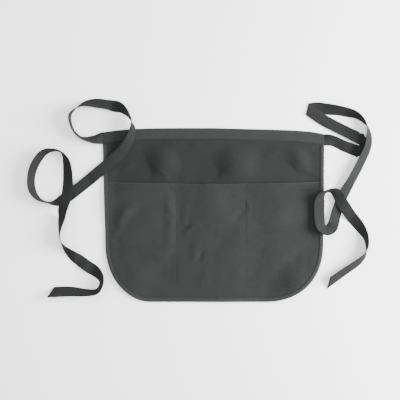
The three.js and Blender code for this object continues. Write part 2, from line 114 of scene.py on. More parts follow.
def valuesAt(where, at, values):
    # columns of values known at the places at, read off at the places where
    return np.stack([np.interp(where, at, column) for column in values.T], -1)


def unit(vectors):
    return vectors / np.linalg.norm(vectors, axis=1)[:, None]


# Shape of the apron: outline and layers as in the frame, folds and bays nearer to the photograph

shape = {
    "width": 487 * mm,
    "drop": 370 * mm,               # middle of the waistband to the bottom edge
    "cloth": 1.0 * mm,
    "gap": 0.4 * mm,                # between sewn layers
    "bandWidth": 24 * mm,
    "leftDroop": 9.5 * mm,          # how far the waistband's ends sink
    "rightDroop": 14 * mm,
    "leftTaper": 6 * mm,            # how far the sides run inwards
    "rightTaper": 2.5 * mm,
    "leftCorner": {"width": 101 * mm, "height": 123 * mm, "power": 1.95},
    "rightCorner": {"width": 135 * mm, "height": 135 * mm, "power": 2.3},
    "bindingWidth": 8 * mm,
    "pocketDepth": 264 * mm,
    "mouthDip": 4.5 * mm,
    "divisions": (0.325, 0.645),
    "bayRise": 4.5 * mm,
    "hemDepth": 15 * mm,
    "hemThickness": 0.8 * mm,
    "settleWidth": 26 * mm,
    "foldRise": 5 * mm,
    "edgeRise": 6 * mm,
}
halfWidth = shape["width"] / 2
bandHeight = 3 * shape["cloth"] + 2 * shape["gap"]
boundHeight = 4 * shape["cloth"] + 3 * shape["gap"]
mouthHeight = shape["pocketDepth"] - shape["drop"]
layerStep = shape["cloth"] + shape["gap"]

# folds: middle as shares of width and drop, run in degrees from +X, half length and half
# breadth as shares of the width, height as a share of the rise
panelFolds = [
    (0.268, 0.165, 108, 0.105, 0.095, 1.95),
    (0.600, 0.180, 92, 0.110, 0.120, 2.20),
    (0.890, 0.160, 125, 0.095, 0.062, 1.15),
]
pocketFolds = [
    (0.095, 0.460, 45, 0.105, 0.055, 0.60),
    (0.615, 0.690, 70, 0.190, 0.110, 0.85),
    (0.300, 0.550, 90, 0.180, 0.035, 0.30),
    (0.200, 0.800, 35, 0.130, 0.070, 0.50),
]
edgeWaves = [
    (0.900, 0.860, 47, 0.250, 0.110, 1.50),
    (0.122, 0.850, 135, 0.160, 0.120, 1.00),
    (0.010, 0.420, 90, 0.120, 0.120, 0.40),
    (0.990, 0.330, 90, 0.090, 0.120, 0.30),
    (0.520, 1.000, 0, 0.170, 0.130, 0.40),
]


def bandMiddle(x):
    k = np.minimum(np.abs(x) / halfWidth, 1.0)
    left = -shape["leftDroop"] * k ** 4.5
    right = -shape["rightDroop"] * (0.45 * k + 0.55 * k ** 8)
    return np.where(np.asarray(x) < 0, left, right)


def sideTaper(y):
    return smooth(-y / shape["drop"] * 1.3)


def leftEdge(y):
    return -halfWidth + shape["leftTaper"] * sideTaper(y)


def rightEdge(y):
    return halfWidth - shape["rightTaper"] * sideTaper(y)


def acrossAt(s, y, inset):
    return mix(leftEdge(y) + inset, rightEdge(y) - inset, s)


def cornerShare(corner, inset):
    return (corner["width"] - inset) / (shape["width"] - 2 * inset)


def bottomEdge(s, inset):
    s = np.asarray(s, float)
    heights = []
    for corner, fromSide in ((shape["leftCorner"], s), (shape["rightCorner"], 1.0 - s)):
        k = np.minimum(fromSide / cornerShare(corner, inset), 1.0)
        power = corner["power"]
        climb = 1.0 - np.maximum(1.0 - (1.0 - k) ** power, 0.0) ** (1.0 / power)
        heights.append((corner["height"] - inset) * climb)
    return -shape["drop"] + inset + np.where(s < 0.5, heights[0], heights[1])


def mouthEdge(s):
    return mouthHeight - shape["mouthDip"] * np.sin(np.pi * np.asarray(s))


def edgeDistance(x, y):
    left, right = x - leftEdge(y), rightEdge(y) - x
    side, bottom = np.minimum(left, right), y + shape["drop"]
    result = np.minimum(side, bottom)
    for corner, near in ((shape["leftCorner"], left < right), (shape["rightCorner"], left >= right)):
        a = np.maximum(1.0 - side / corner["width"], 0.0)
        b = np.maximum(1.0 - bottom / corner["height"], 0.0)
        power = corner["power"]
        total = np.maximum(a ** power + b ** power, 1e-9)
        radius = mix(corner["height"], corner["width"], a ** power / total)
        rounded = (1.0 - total ** (1.0 / power)) * radius
        result = np.where(near & (a > 0) & (b > 0), rounded, result)
    return result


def foldHeight(folds, x, y):
    height = 0.0
    for across, down, run, length, breadth, rise in folds:
        turn = math.radians(run)
        dx = x + halfWidth - across * shape["width"]
        dy = y + down * shape["drop"]
        along = dx * math.cos(turn) + dy * math.sin(turn)
        aside = dy * math.cos(turn) - dx * math.sin(turn)
        bump = hump(along / (length * shape["width"])) * hump(aside / (breadth * shape["width"]))
        height = height + rise * bump
    return height


def belowBand(x, y):
    return bandMiddle(x) - shape["bandWidth"] / 2 - y


def seamFree(x, y):
    nearest = np.minimum(edgeDistance(x, y) - shape["bindingWidth"], belowBand(x, y))
    return smooth((nearest - shape["gap"]) / shape["settleWidth"])


def waveHeight(x, y):
    fade = smooth(belowBand(x, y) / (3 * shape["bandWidth"]))
    return shape["edgeRise"] * foldHeight(edgeWaves, x, y) * fade


def panelHeight(x, y):
    free = seamFree(x, y)
    folds = shape["foldRise"] * free * foldHeight(panelFolds, x, y)
    return waveHeight(x, y) + layerStep * (1.0 - free) + folds


def bayArch(s, y):
    seam = (shape["bindingWidth"] + shape["gap"]) / shape["width"]
    stops = [seam, *shape["divisions"], 1.0 - seam]
    room = (y + shape["drop"]) / shape["pocketDepth"]
    arch = 0.0
    for start, end in zip(stops[:-1], stops[1:]):
        arch = arch + hump((s - (start + end) / 2) / ((end - start) / 2)) ** 0.75
    return arch * smooth(room * 1.35)


def pocketHeight(s, x, y):
    free = seamFree(x, y)
    arch = shape["bayRise"] * bayArch(s, y) * free
    puckers = shape["foldRise"] * free * foldHeight(pocketFolds, x, y)
    return panelHeight(x, y) + layerStep + arch + puckers


# Meshes

def meshPiece(name, points, faces, uvs=None, wearAndHighlight=None, material=None, flat=False):
    mesh = bpy.data.meshes.new(name)
    mesh.from_pydata([tuple(p) for p in np.asarray(points, float)], [], [tuple(f) for f in faces])
    if uvs is not None:
        layer = mesh.uv_layers.new(name="cloth")
        corners = np.zeros(len(mesh.loops), int)
        mesh.loops.foreach_get("vertex_index", corners)
        layer.data.foreach_set("uv", np.asarray(uvs, np.float32)[corners].ravel())
    if wearAndHighlight is not None:
        layer = mesh.attributes.new("wearAndHighlight", "FLOAT", "POINT")
        layer.data.foreach_set("value", np.asarray(wearAndHighlight, np.float32))
    mesh.polygons.foreach_set("use_smooth", [not flat] * len(mesh.polygons))
    piece = bpy.data.objects.new(name, mesh)
    scene.collection.objects.link(piece)
    if material is not None:
        mesh.materials.append(material)
    mesh.validate()
    mesh.update()
    return piece


def gridFaces(rows, columns, closeRows=False, closeColumns=False):
    r = np.arange(rows if closeRows else rows - 1)
    c = np.arange(columns if closeColumns else columns - 1)
    r, c = np.meshgrid(r, c, indexing="ij")
    r1, c1 = (r + 1) % rows, (c + 1) % columns
    quads = np.stack([r * columns + c, r1 * columns + c, r1 * columns + c1, r * columns + c1], -1)
    return quads.reshape(-1, 4)


def outward(points, faces):
    # turns the faces round if the closed surface has them pointing in
    p = np.asarray(points, float)
    volume = 0.0
    for k in range(1, faces.shape[1] - 1):
        a, b, c = p[faces[:, 0]], p[faces[:, k]], p[faces[:, k + 1]]
        volume += float((a * np.cross(b, c)).sum())
    return faces if volume > 0 else faces[:, ::-1]


def sheetPiece(name, x, y, low, high, wearAndHighlight, material):
    # a sheet with an underside and a top over one grid, closed along its rim
    rows, columns = x.shape
    count = rows * columns
    under = np.stack([x, y, low], -1).reshape(-1, 3)
    top = np.stack([x, y, high], -1).reshape(-1, 3)
    quads = gridFaces(rows, columns)
    index = np.arange(count).reshape(rows, columns)
    rim = np.concatenate([index[0, :-1], index[:-1, -1], index[-1, :0:-1], index[:0:-1, 0]])
    after = np.roll(rim, -1)
    edge = np.stack([rim, rim + count, after + count, after], -1)
    faces = np.concatenate([quads, quads[:, ::-1] + count, edge[:, ::-1]])
    points = np.concatenate([under, top])
    uv = np.stack([x, y], -1).reshape(-1, 2)
    return meshPiece(name, points, outward(points, faces), np.concatenate([uv, uv]),
                     np.concatenate([wearAndHighlight.ravel(), wearAndHighlight.ravel()]), material)


def loftPiece(name, sections, uvs, wearAndHighlight, material):
    # sections is stations x points x 3; each end is closed with one face
    stations, size, _ = sections.shape
    quads = gridFaces(stations, size, closeColumns=True)
    points = sections.reshape(-1, 3)
    turned = outward(points, quads)
    isKept = turned is quads
    first = list(range(size))
    last = [(stations - 1) * size + k for k in range(size)]
    ends = [first, last[::-1]] if isKept else [first[::-1], last]
    faces = [tuple(f) for f in turned] + [tuple(f) for f in ends]
    return meshPiece(name, points, faces, uvs.reshape(-1, 2), wearAndHighlight.ravel(), material)


# Materials

fabricLook = {
    "cloth": {"dark": (0.0101, 0.0116, 0.0109), "light": (0.0146, 0.0164, 0.0156), "lint": 0.06},
    "pocket": {"dark": (0.0131, 0.0146, 0.0139), "light": (0.0179, 0.0198, 0.0189), "lint": 0.06},
    "tape": {"dark": (0.0146, 0.0159, 0.0153), "light": (0.0205, 0.0222, 0.0215), "lint": 0.04},
    "binding": {"dark": (0.0180, 0.0195, 0.0188), "light": (0.0255, 0.0276, 0.0266), "lint": 0.04},
    # tie colours: the tape's cloth darkened as painted shade
    "tie": {"dark": (0.0104, 0.0114, 0.0109), "light": (0.0152, 0.0165, 0.0159), "lint": 0.04},
    "thread": {"colour": (0.0125, 0.0138, 0.0132)},
    "threadPitch": 0.55 * mm,       # of the woven cloth
    "tapePitch": 0.9 * mm,
    "sheen": 0.02,
    "sheenRoughness": 0.45,
    "specular": 0.06,
    "roughness": (0.96, 0.82),      # in the hollows and on the tops of the weave
    "threadRoughness": 0.7,
    "ribShare": 0.35,               # how much the weave's tops lighten
    "ribGain": 1.25,
    # rubbed rims and the painted highlights along them are this much lighter than the light tone
    "wornAndLitGain": 1.9,
    "lintColour": (0.08, 0.085, 0.083),
    "relief": 0.5,
    "reliefDepth": 0.25 * mm,
}
weaveLook = {
    "slope": 0.8,                   # of the twill's ribs
    "sway": 1.2 * mm,               # how far the threads wander
    "rib": 0.30,
    "pick": 0.16,
    "slub": 0.9,
}
noiseScale = {                      # cells to a metre
    "sway": 90.0, "slub": 1100.0, "dye": 14.0, "fleck": 260.0, "lint": 620.0, "rimBreakup": 320.0,
    "thread": 900.0,
}


def newGroup(name, inputs, outputs):
    group = bpy.data.node_groups.new(name, "ShaderNodeTree")
    for label, kind, default in inputs:
        socket = group.interface.new_socket(name=label, in_out="INPUT", socket_type=kind)
        if default is not None:
            socket.default_value = default
    for label, kind in outputs:
        group.interface.new_socket(name=label, in_out="OUTPUT", socket_type=kind)
    start = group.nodes.new("NodeGroupInput")
    end = group.nodes.new("NodeGroupOutput")
    return group, start, end


def mathNode(tree, operation, a, b=None):
    node = tree.nodes.new("ShaderNodeMath")
    node.operation = operation
    for socket, value in zip(node.inputs, (a, b)):
        if value is None:
            continue
        if isinstance(value, (int, float)):
            socket.default_value = value
        else:
            tree.links.new(value, socket)
    return node.outputs[0]


def weightedSum(tree, *parts):
    # each part is a value and its weight
    total = None
    for value, weight in parts:
        term = mathNode(tree, "MULTIPLY", value, weight)
        total = term if total is None else mathNode(tree, "ADD", total, term)
    return total


def mixColour(tree, mask, a, b):
    node = tree.nodes.new("ShaderNodeMix")
    node.data_type = "RGBA"
    tree.links.new(mask, node.inputs["Factor"])
    for socket, value in ((node.inputs["A"], a), (node.inputs["B"], b)):
        if hasattr(value, "is_output"):
            tree.links.new(value, socket)
        else:
            socket.default_value = (*value, 1.0)
    return node.outputs["Result"]


def rangeNode(tree, value, low, high, toLow=0.0, toHigh=1.0):
    node = tree.nodes.new("ShaderNodeMapRange")
    tree.links.new(value, node.inputs["Value"])
    node.inputs["From Min"].default_value = low
    node.inputs["From Max"].default_value = high
    node.inputs["To Min"].default_value = toLow
    node.inputs["To Max"].default_value = toHigh
    return node.outputs["Result"]


def noiseNode(tree, vector, scale, detail=2.0, stretch=None):
    if stretch is not None:
        mapping = tree.nodes.new("ShaderNodeMapping")
        mapping.inputs["Scale"].default_value = stretch
        tree.links.new(vector, mapping.inputs["Vector"])
        vector = mapping.outputs["Vector"]
    node = tree.nodes.new("ShaderNodeTexNoise")
    node.inputs["Scale"].default_value = scale
    node.inputs["Detail"].default_value = detail
    tree.links.new(vector, node.inputs["Vector"])
    return node.outputs["Fac"]


def makeTwillWeave():
    # diagonal ribs of a twill, broken up by slubs; Pitch is one rib in metres
    group, start, end = newGroup("twillWeave",
        [("Vector", "NodeSocketVector", None), ("Pitch", "NodeSocketFloat", 0.0006)],
        [("Height", "NodeSocketFloat"), ("Thread", "NodeSocketFloat")])
    split = group.nodes.new("ShaderNodeSeparateXYZ")
    group.links.new(start.outputs["Vector"], split.inputs[0])
    u, v = split.outputs[0], split.outputs[1]
    vector, pitch = start.outputs["Vector"], start.outputs["Pitch"]
    sway = noiseNode(group, vector, noiseScale["sway"])
    shift = mathNode(group, "MULTIPLY", sway, weaveLook["sway"])
    slope = mathNode(group, "ADD", mathNode(group, "MULTIPLY", v, weaveLook["slope"]), shift)
    turns = mathNode(group, "DIVIDE", mathNode(group, "ADD", u, slope), pitch)
    rib = mathNode(group, "SINE", mathNode(group, "MULTIPLY", turns, 2 * math.pi))
    cross = mathNode(group, "DIVIDE", mathNode(group, "SUBTRACT", v, shift), pitch)
    pick = mathNode(group, "SINE", mathNode(group, "MULTIPLY", cross, 2 * math.pi))
    slub = noiseNode(group, vector, noiseScale["slub"], 3.0, (1.0, 0.25, 1.0))
    height = weightedSum(group, (rib, weaveLook["rib"]), (pick, weaveLook["pick"]),
                         (slub, weaveLook["slub"]))
    group.links.new(height, end.inputs["Height"])
    group.links.new(rangeNode(group, height, 0.0, 1.0), end.inputs["Thread"])
    return group


def makeClothMottle():
    # broad uneven dye, finer flecks and sparse pale lint
    group, start, end = newGroup("clothMottle",
        [("Vector", "NodeSocketVector", None)],
        [("Tone", "NodeSocketFloat"), ("Lint", "NodeSocketFloat")])
    vector = start.outputs["Vector"]
    dye = noiseNode(group, vector, noiseScale["dye"], 3.0)
    fleck = noiseNode(group, vector, noiseScale["fleck"], 4.0, (1.0, 0.6, 1.0))
    tone = weightedSum(group, (dye, 0.6), (fleck, 0.4))
    group.links.new(rangeNode(group, tone, 0.30, 0.70), end.inputs["Tone"])
    lint = noiseNode(group, vector, noiseScale["lint"], 2.0, (1.0, 0.35, 1.0))
    group.links.new(rangeNode(group, lint, 0.66, 0.74), end.inputs["Lint"])
    return group


def makeEdgeWearAndHighlight():
    # rubbed rims with painted highlights along them: the mesh's share of both, broken up by noise
    group, start, end = newGroup("edgeWearAndHighlight",
        [("Vector", "NodeSocketVector", None), ("Amount", "NodeSocketFloat", 0.5)],
        [("Mask", "NodeSocketFloat")])
    attribute = group.nodes.new("ShaderNodeAttribute")
    attribute.attribute_name = "wearAndHighlight"
    rimBreakup = noiseNode(group, start.outputs["Vector"], noiseScale["rimBreakup"], 3.0)
    broken = rangeNode(group, rimBreakup, 0.30, 0.65)
    mask = mathNode(group, "MULTIPLY", attribute.outputs["Fac"], broken)
    group.links.new(mathNode(group, "MULTIPLY", mask, start.outputs["Amount"]), end.inputs["Mask"])
    return group


twillWeave = makeTwillWeave()
clothMottle = makeClothMottle()
edgeWearAndHighlight = makeEdgeWearAndHighlight()


def useGroup(tree, group, vector, **values):
    node = tree.nodes.new("ShaderNodeGroup")
    node.node_tree = group
    tree.links.new(vector, node.inputs["Vector"])
    for label, value in values.items():
        node.inputs[label].default_value = value
    return node.outputs


def scaled(colour, gain):
    return tuple(gain * c for c in colour)


def newMaterial(name):
    material = bpy.data.materials.new(name)
    material.use_nodes = True
    return material, material.node_tree, material.node_tree.nodes["Principled BSDF"]


def fabricMaterial(name, kind, pitch, wearAndHighlight, startKind=None):
    # with a startKind, the mesh's attribute near the waistband turns this look into the startKind's
    # look; for the tie this takes its painted shade off by the waistband
    material, tree, shader = newMaterial(name)
    look = fabricLook[kind]
    place = tree.nodes.new("ShaderNodeUVMap")
    place.uv_map = "cloth"
    uv = place.outputs["UV"]
    weave = useGroup(tree, twillWeave, uv, Pitch=fabricLook[pitch])
    mottle = useGroup(tree, clothMottle, uv)
    rubbedAndLit = useGroup(tree, edgeWearAndHighlight, uv, Amount=wearAndHighlight)
    base = mixColour(tree, mottle["Tone"], look["dark"], look["light"])
    if startKind is not None:
        startLook = fabricLook[startKind]
        # near the waistband the tie takes the tape's tone, without its painted shade
        unshadedNearBand = tree.nodes.new("ShaderNodeAttribute")
        unshadedNearBand.attribute_name = "unshadedNearBand"
        unshadedStart = mixColour(tree, mottle["Tone"], startLook["dark"], startLook["light"])
        base = mixColour(tree, unshadedNearBand.outputs["Fac"], base, unshadedStart)
    ribs = rangeNode(tree, weave["Thread"], 0.0, 1.0, 0.0, fabricLook["ribShare"])
    grained = mixColour(tree, ribs, base, scaled(look["light"], fabricLook["ribGain"]))
    lint = mathNode(tree, "MULTIPLY", mottle["Lint"], look["lint"])
    linted = mixColour(tree, lint, grained, fabricLook["lintColour"])
    # rims lightened: rubbed wear together with a painted highlight
    rubbedAndLitColour = scaled(look["light"], fabricLook["wornAndLitGain"])
    wornAndLit = mixColour(tree, rubbedAndLit["Mask"], linted, rubbedAndLitColour)
    tree.links.new(wornAndLit, shader.inputs["Base Color"])
    roughness = rangeNode(tree, weave["Thread"], 0.0, 1.0, *fabricLook["roughness"])
    tree.links.new(roughness, shader.inputs["Roughness"])
    shader.inputs["Specular IOR Level"].default_value = fabricLook["specular"]
    shader.inputs["Sheen Weight"].default_value = fabricLook["sheen"]
    shader.inputs["Sheen Roughness"].default_value = fabricLook["sheenRoughness"]
    relief = tree.nodes.new("ShaderNodeBump")
    relief.inputs["Strength"].default_value = fabricLook["relief"]
    relief.inputs["Distance"].default_value = fabricLook["reliefDepth"]
    tree.links.new(weave["Height"], relief.inputs["Height"])
    tree.links.new(relief.outputs["Normal"], shader.inputs["Normal"])
    return material


def threadMaterial():
    material, tree, shader = newMaterial("sewingThread")
    place = tree.nodes.new("ShaderNodeTexCoord")
    tone = noiseNode(tree, place.outputs["Object"], noiseScale["thread"])
    base = fabricLook["thread"]["colour"]
    colour = mixColour(tree, tone, scaled(base, 0.75), scaled(base, 1.3))
    tree.links.new(colour, shader.inputs["Base Color"])
    shader.inputs["Roughness"].default_value = fabricLook["threadRoughness"]
    shader.inputs["Specular IOR Level"].default_value = fabricLook["specular"]
    shader.inputs["Sheen Weight"].default_value = fabricLook["sheen"]
    return material


clothMaterial = fabricMaterial("darkTwill", "cloth", "threadPitch", 0.35)
pocketMaterial = fabricMaterial("pocketTwill", "pocket", "threadPitch", 0.5)
tapeMaterial = fabricMaterial("foldedTape", "tape", "tapePitch", 0.5)
bindingMaterial = fabricMaterial("bindingTwill", "binding", "tapePitch", 0.6)
# the tie: the tape's cloth with painted shade in its darker colours
shadedTieMaterial = fabricMaterial("tieTwillPaintedShade", "tie", "tapePitch", 0.5, "tape")
sewingThread = threadMaterial()
print("materials made")


# Creases and puckers that the solids leave out, on top of the folds

creaseTable = {
    # middle in millimetres, run in degrees, half length, half breadth, height in millimetres
    "panel": [
        (-152, -76, 122, 52, 22, -3.2),
        (8, -84, 12, 36, 16, -2.6),
        (-28, -50, 84, 44, 28, -1.8),
        (158, -72, 130, 42, 17, -2.2),
        (-196, -76, 20, 34, 14, 2.0),
        (214, -84, 10, 24, 12, 1.4),
        (-76, -34, 140, 34, 16, 1.2),
        (118, -40, 30, 40, 16, 1.2),
        (-104, -92, 150, 30, 12, 1.4),
    ],
    "pocket": [
        (-225, -118, 32, 17, 4, -2.2),
        (-226, -131, 28, 15, 4, -2.4),
        (-225, -145, 24, 18, 4, -2.2),
        (-190, -178, 50, 56, 20, 3.4),
        (-216, -212, 20, 24, 8, 1.6),
        (-221, -226, 12, 22, 5, -2.6),
        (-98, -168, 90, 75, 15, 1.5),
        (-66, -166, 90, 70, 16, 0.9),
        (-62, -208, 24, 28, 9, -2.2),
        (-46, -208, 50, 28, 16, 2.3),
        (-24, -264, 20, 22, 9, -2.1),
        (-36, -252, 35, 26, 14, 1.6),
        (74, -160, 92, 26, 9, 1.2),
        (62, -178, 55, 40, 16, -1.1),
        (150, -170, 80, 70, 38, 1.2),
        (-120, -268, 30, 32, 16, 1.3),
        (-150, -336, 8, 40, 14, 1.3),
        (-20, -320, 62, 50, 28, 1.2),
    ],
}
reliefLook = {
    "warp": 9 * mm,                 # how far noise pulls the creases out of shape
    "warpCell": 46 * mm,
    "broad": 0.45 * mm,             # cloth that is never quite flat
    "broadCell": 34 * mm,
    "fine": 0.08 * mm,
    "fineCell": 7 * mm,
    "settle": 9 * mm,               # how soon creases die out beside a seam
    "seamPucker": 0.32 * mm,
    "puckerPitch": 8 * mm,
    "puckerReach": 9 * mm,
    "pullInset": 2 * mm,            # from a tape's edge to where its puckers are strongest
    "pullFade": 3 * mm,
    "bandPull": 1.3,                # the waistband's puckers against the binding's
    "hemPull": 0.8,
}
noiseSeed = {
    "warpAcross": 11, "warpUp": 21, "bindingPull": 31, "panel": 41, "bandPull": 51, "pocket": 61,
    "division": 71, "hem": 81, "binding": 91, "waistband": 101, "tie": 111,
}


def creaseHeight(name, x, y):
    warp, cell = reliefLook["warp"], reliefLook["warpCell"]
    wx = x + warp * layeredNoise(x, y, cell, noiseSeed["warpAcross"])
    wy = y + warp * layeredNoise(x, y, cell, noiseSeed["warpUp"])
    height = 0.0
    for cx, cy, run, length, breadth, rise in creaseTable[name]:
        turn = math.radians(run)
        dx, dy = wx - cx * mm, wy - cy * mm
        along = dx * math.cos(turn) + dy * math.sin(turn)
        aside = dy * math.cos(turn) - dx * math.sin(turn)
        height = height + rise * mm * hump(along / (length * mm)) * hump(aside / (breadth * mm))
    return height


def unevenness(x, y, seed):
    broad = reliefLook["broad"] * layeredNoise(x, y, reliefLook["broadCell"], seed)
    fine = reliefLook["fine"] * layeredNoise(x, y, reliefLook["fineCell"], seed + 5, 2)
    return broad + fine


def reliefFree(x, y):
    # creases run closer to a seam than the folds do
    nearest = np.minimum(edgeDistance(x, y) - shape["bindingWidth"], belowBand(x, y))
    return smooth(nearest / reliefLook["settle"])


def seamPucker(distance, along, seed):
    # little pulls square to a seam that die out within a few millimetres
    pitch = reliefLook["puckerPitch"]
    phase = along / pitch + 0.9 * softNoise(along, distance * 0.2, 24 * mm, seed)
    size = 0.6 + 0.4 * softNoise(along, distance * 0.2, 40 * mm, seed + 1)
    fade = np.exp(-np.abs(distance) / (reliefLook["puckerReach"] * 0.5))
    return reliefLook["seamPucker"] * size * fade * np.cos(2 * np.pi * phase)


def tapePull(distance, along, seed):
    # puckers beside a tape, none at its very edge
    pull = seamPucker(distance - reliefLook["pullInset"], along, seed)
    return pull * smooth(distance / reliefLook["pullFade"])


# Panel and pocket

sheetGrid = {
    "inset": shape["cloth"] + shape["gap"] + 0.1 * mm,
    "column": 2.6 * mm,
    "row": 2.6 * mm,
    "upperDepth": 120 * mm,                     # sets how many rows lie above the mouth
    "lowerMarks": (0, 1, 12, 19, 34, 248, 264),     # millimetres below the mouth
    "lowerSteps": (0.13, 1.8, 0.6, 2.4, 2.6, 1.4),  # millimetres, between those marks
    "seamReach": 5 * mm,                        # beside the upright seams, where columns
    "seamStep": 0.7 * mm,                       # lie closer together
    "hemStitches": (13.6 * mm, 16.8 * mm),      # below the mouth
    "groove": 0.28 * mm,                        # how deep a stitch line pulls the cloth in
    "grooveWidth": 2.6 * mm,
    "mouthRound": 0.8 * mm,
}


def sheetColumns(inset):
    width = shape["width"]
    left = cornerShare(shape["leftCorner"], inset)
    right = cornerShare(shape["rightCorner"], inset)
    step = sheetGrid["column"]
    quarter = lambda share: np.linspace(0, 1, int(share * width * 1.25 / step), endpoint=False)
    fromLeft = left * (1 - np.cos(quarter(left) * np.pi / 2))
    fromRight = 1 - right * (1 - np.cos(quarter(right) * np.pi / 2))
    first, second = shape["divisions"]
    near = sheetGrid["seamReach"] / width
    stops = [left, first - near, first + near, second - near, second + near, 1 - right]
    steps = [step / width, sheetGrid["seamStep"] / width] * 2 + [step / width]
    return np.concatenate([fromLeft, spacedPoints(stops, steps), fromRight[::-1]])


def lowerShares():
    # shares of the way from the mouth to the bottom edge, closer together at mouth, hem and seam
    marks = np.array(sheetGrid["lowerMarks"]) * mm / shape["pocketDepth"]
    steps = np.array(sheetGrid["lowerSteps"]) * mm / shape["pocketDepth"]
    return spacedPoints([*marks[:-1], 1.0], steps)


def lowerPlaces(s):
    inset = sheetGrid["inset"]
    k = lowerShares()[:, None]
    y = mix(mouthEdge(s)[None, :], bottomEdge(s, inset)[None, :], k)
    return acrossAt(s[None, :], y, inset), y


def upperPlaces(s):
    inset = sheetGrid["inset"]
    middle = bandMiddle(acrossAt(s, 0.0, inset))
    top = middle + shape["bandWidth"] / 2 - shape["cloth"] - shape["gap"]
    rows = int(sheetGrid["upperDepth"] / sheetGrid["row"])
    k = np.linspace(0, 1, rows, endpoint=False)[:, None]
    y = mix(top[None, :], mouthEdge(s)[None, :], k)
    return acrossAt(s[None, :], y, inset), y


def bindingPull(x, y):
    inner = edgeDistance(x, y) - shape["bindingWidth"]
    along = np.where(y < -0.8 * shape["drop"], x, y)
    return tapePull(inner, along, noiseSeed["bindingPull"])


def reliefHeight(name, x, y):
    return reliefFree(x, y) * (creaseHeight(name, x, y) + unevenness(x, y, noiseSeed[name]))


def panelDetail(x, y):
    bandPull = reliefLook["bandPull"] * tapePull(belowBand(x, y), x, noiseSeed["bandPull"])
    raised = panelHeight(x, y) + reliefHeight("panel", x, y) + bandPull + bindingPull(x, y)
    return np.maximum(raised, 0.0)


def pocketDetail(s, x, y, floorHeight):
    free = seamFree(x, y)
    width = rightEdge(y) - leftEdge(y)
    height = pocketHeight(s, x, y) - panelHeight(x, y)
    height = height + reliefHeight("pocket", x, y) + bindingPull(x, y)
    for i, division in enumerate(shape["divisions"]):
        aside = (s - division) * width
        pull = seamPucker(aside, y, noiseSeed["division"] + i)
        height = height + pull * smooth(np.abs(aside) / (2.5 * mm)) * free
        height = height - sheetGrid["groove"] * hump(aside / sheetGrid["grooveWidth"]) * free
    below = mouthEdge(s) - y
    for i, depth in enumerate(sheetGrid["hemStitches"]):
        pull = reliefLook["hemPull"] * seamPucker(below - depth, x, noiseSeed["hem"] + i)
        height = height + pull * free * smooth(below / (4 * mm))
    lowest = shape["cloth"] + 0.25 * mm
    return floorHeight + np.maximum(height, lowest)


def makePanel():
    s = sheetColumns(sheetGrid["inset"])
    upperX, upperY = upperPlaces(s)
    lowerX, lowerY = lowerPlaces(s)
    lowerX, lowerY = lowerX[::2], lowerY[::2]
    x, y = np.concatenate([upperX, lowerX]), np.concatenate([upperY, lowerY])
    low = panelDetail(x, y)
    # lighter near the binding: rubbed wear with a painted highlight
    wearAndHighlight = 0.25 * smooth(1 - (edgeDistance(x, y) - shape["bindingWidth"]) / (9 * mm))
    return sheetPiece("panelCloth", x, y, low, low + shape["cloth"], wearAndHighlight, clothMaterial)


def makePocket():
    s = sheetColumns(sheetGrid["inset"])
    x, y = lowerPlaces(s)
    across = np.broadcast_to(s[None, :], x.shape)
    low = pocketDetail(across, x, y, panelDetail(x, y))
    below = mouthEdge(across) - y
    free = seamFree(x, y)
    hem = shape["hemThickness"] * smooth((shape["hemDepth"] + 2 * mm - below) / (2 * mm))
    groove = sum(hump((below - depth) / sheetGrid["grooveWidth"] * 1.4)
                 for depth in sheetGrid["hemStitches"])
    high = low + shape["cloth"] + free * (hem - 0.6 * sheetGrid["groove"] * groove)
    bend = sheetGrid["mouthRound"]
    rounding = bend - np.sqrt(np.maximum(bend ** 2 - np.maximum(bend - below, 0.0) ** 2, 0.0))
    low, high = low + rounding * 0.9, high - rounding * 0.9
    # lighter at the mouth and along the hem stitches: rubbed wear with a painted highlight
    wearAndHighlight = np.maximum(smooth(1 - below / (3 * mm)), 0.35 * groove)
    return sheetPiece("pocketCloth", x, y, low, high, wearAndHighlight, pocketMaterial), (s, x, y, high)


panelCloth = makePanel()
pocketCloth, pocketTop = makePocket()
print("panel and pocket made:", len(panelCloth.data.polygons), len(pocketCloth.data.polygons))


# Folded tape: the binding round the edges, and the waistband

tapeLook = {
    "rim": 1.5 * mm,                # how far the folded rim bulges
    "stitchInset": 1.6 * mm,        # of a stitch line from the tape's inner edge
    "groove": 0.25 * mm,
    "ripple": 0.14 * mm,
    "station": 2.4 * mm,
    "sidePoints": 90,               # of the line along each side of the apron
}


def leftOf(places):
    travel = unit(np.gradient(places, axis=0))
    return np.stack([-travel[:, 1], travel[:, 0]], -1)


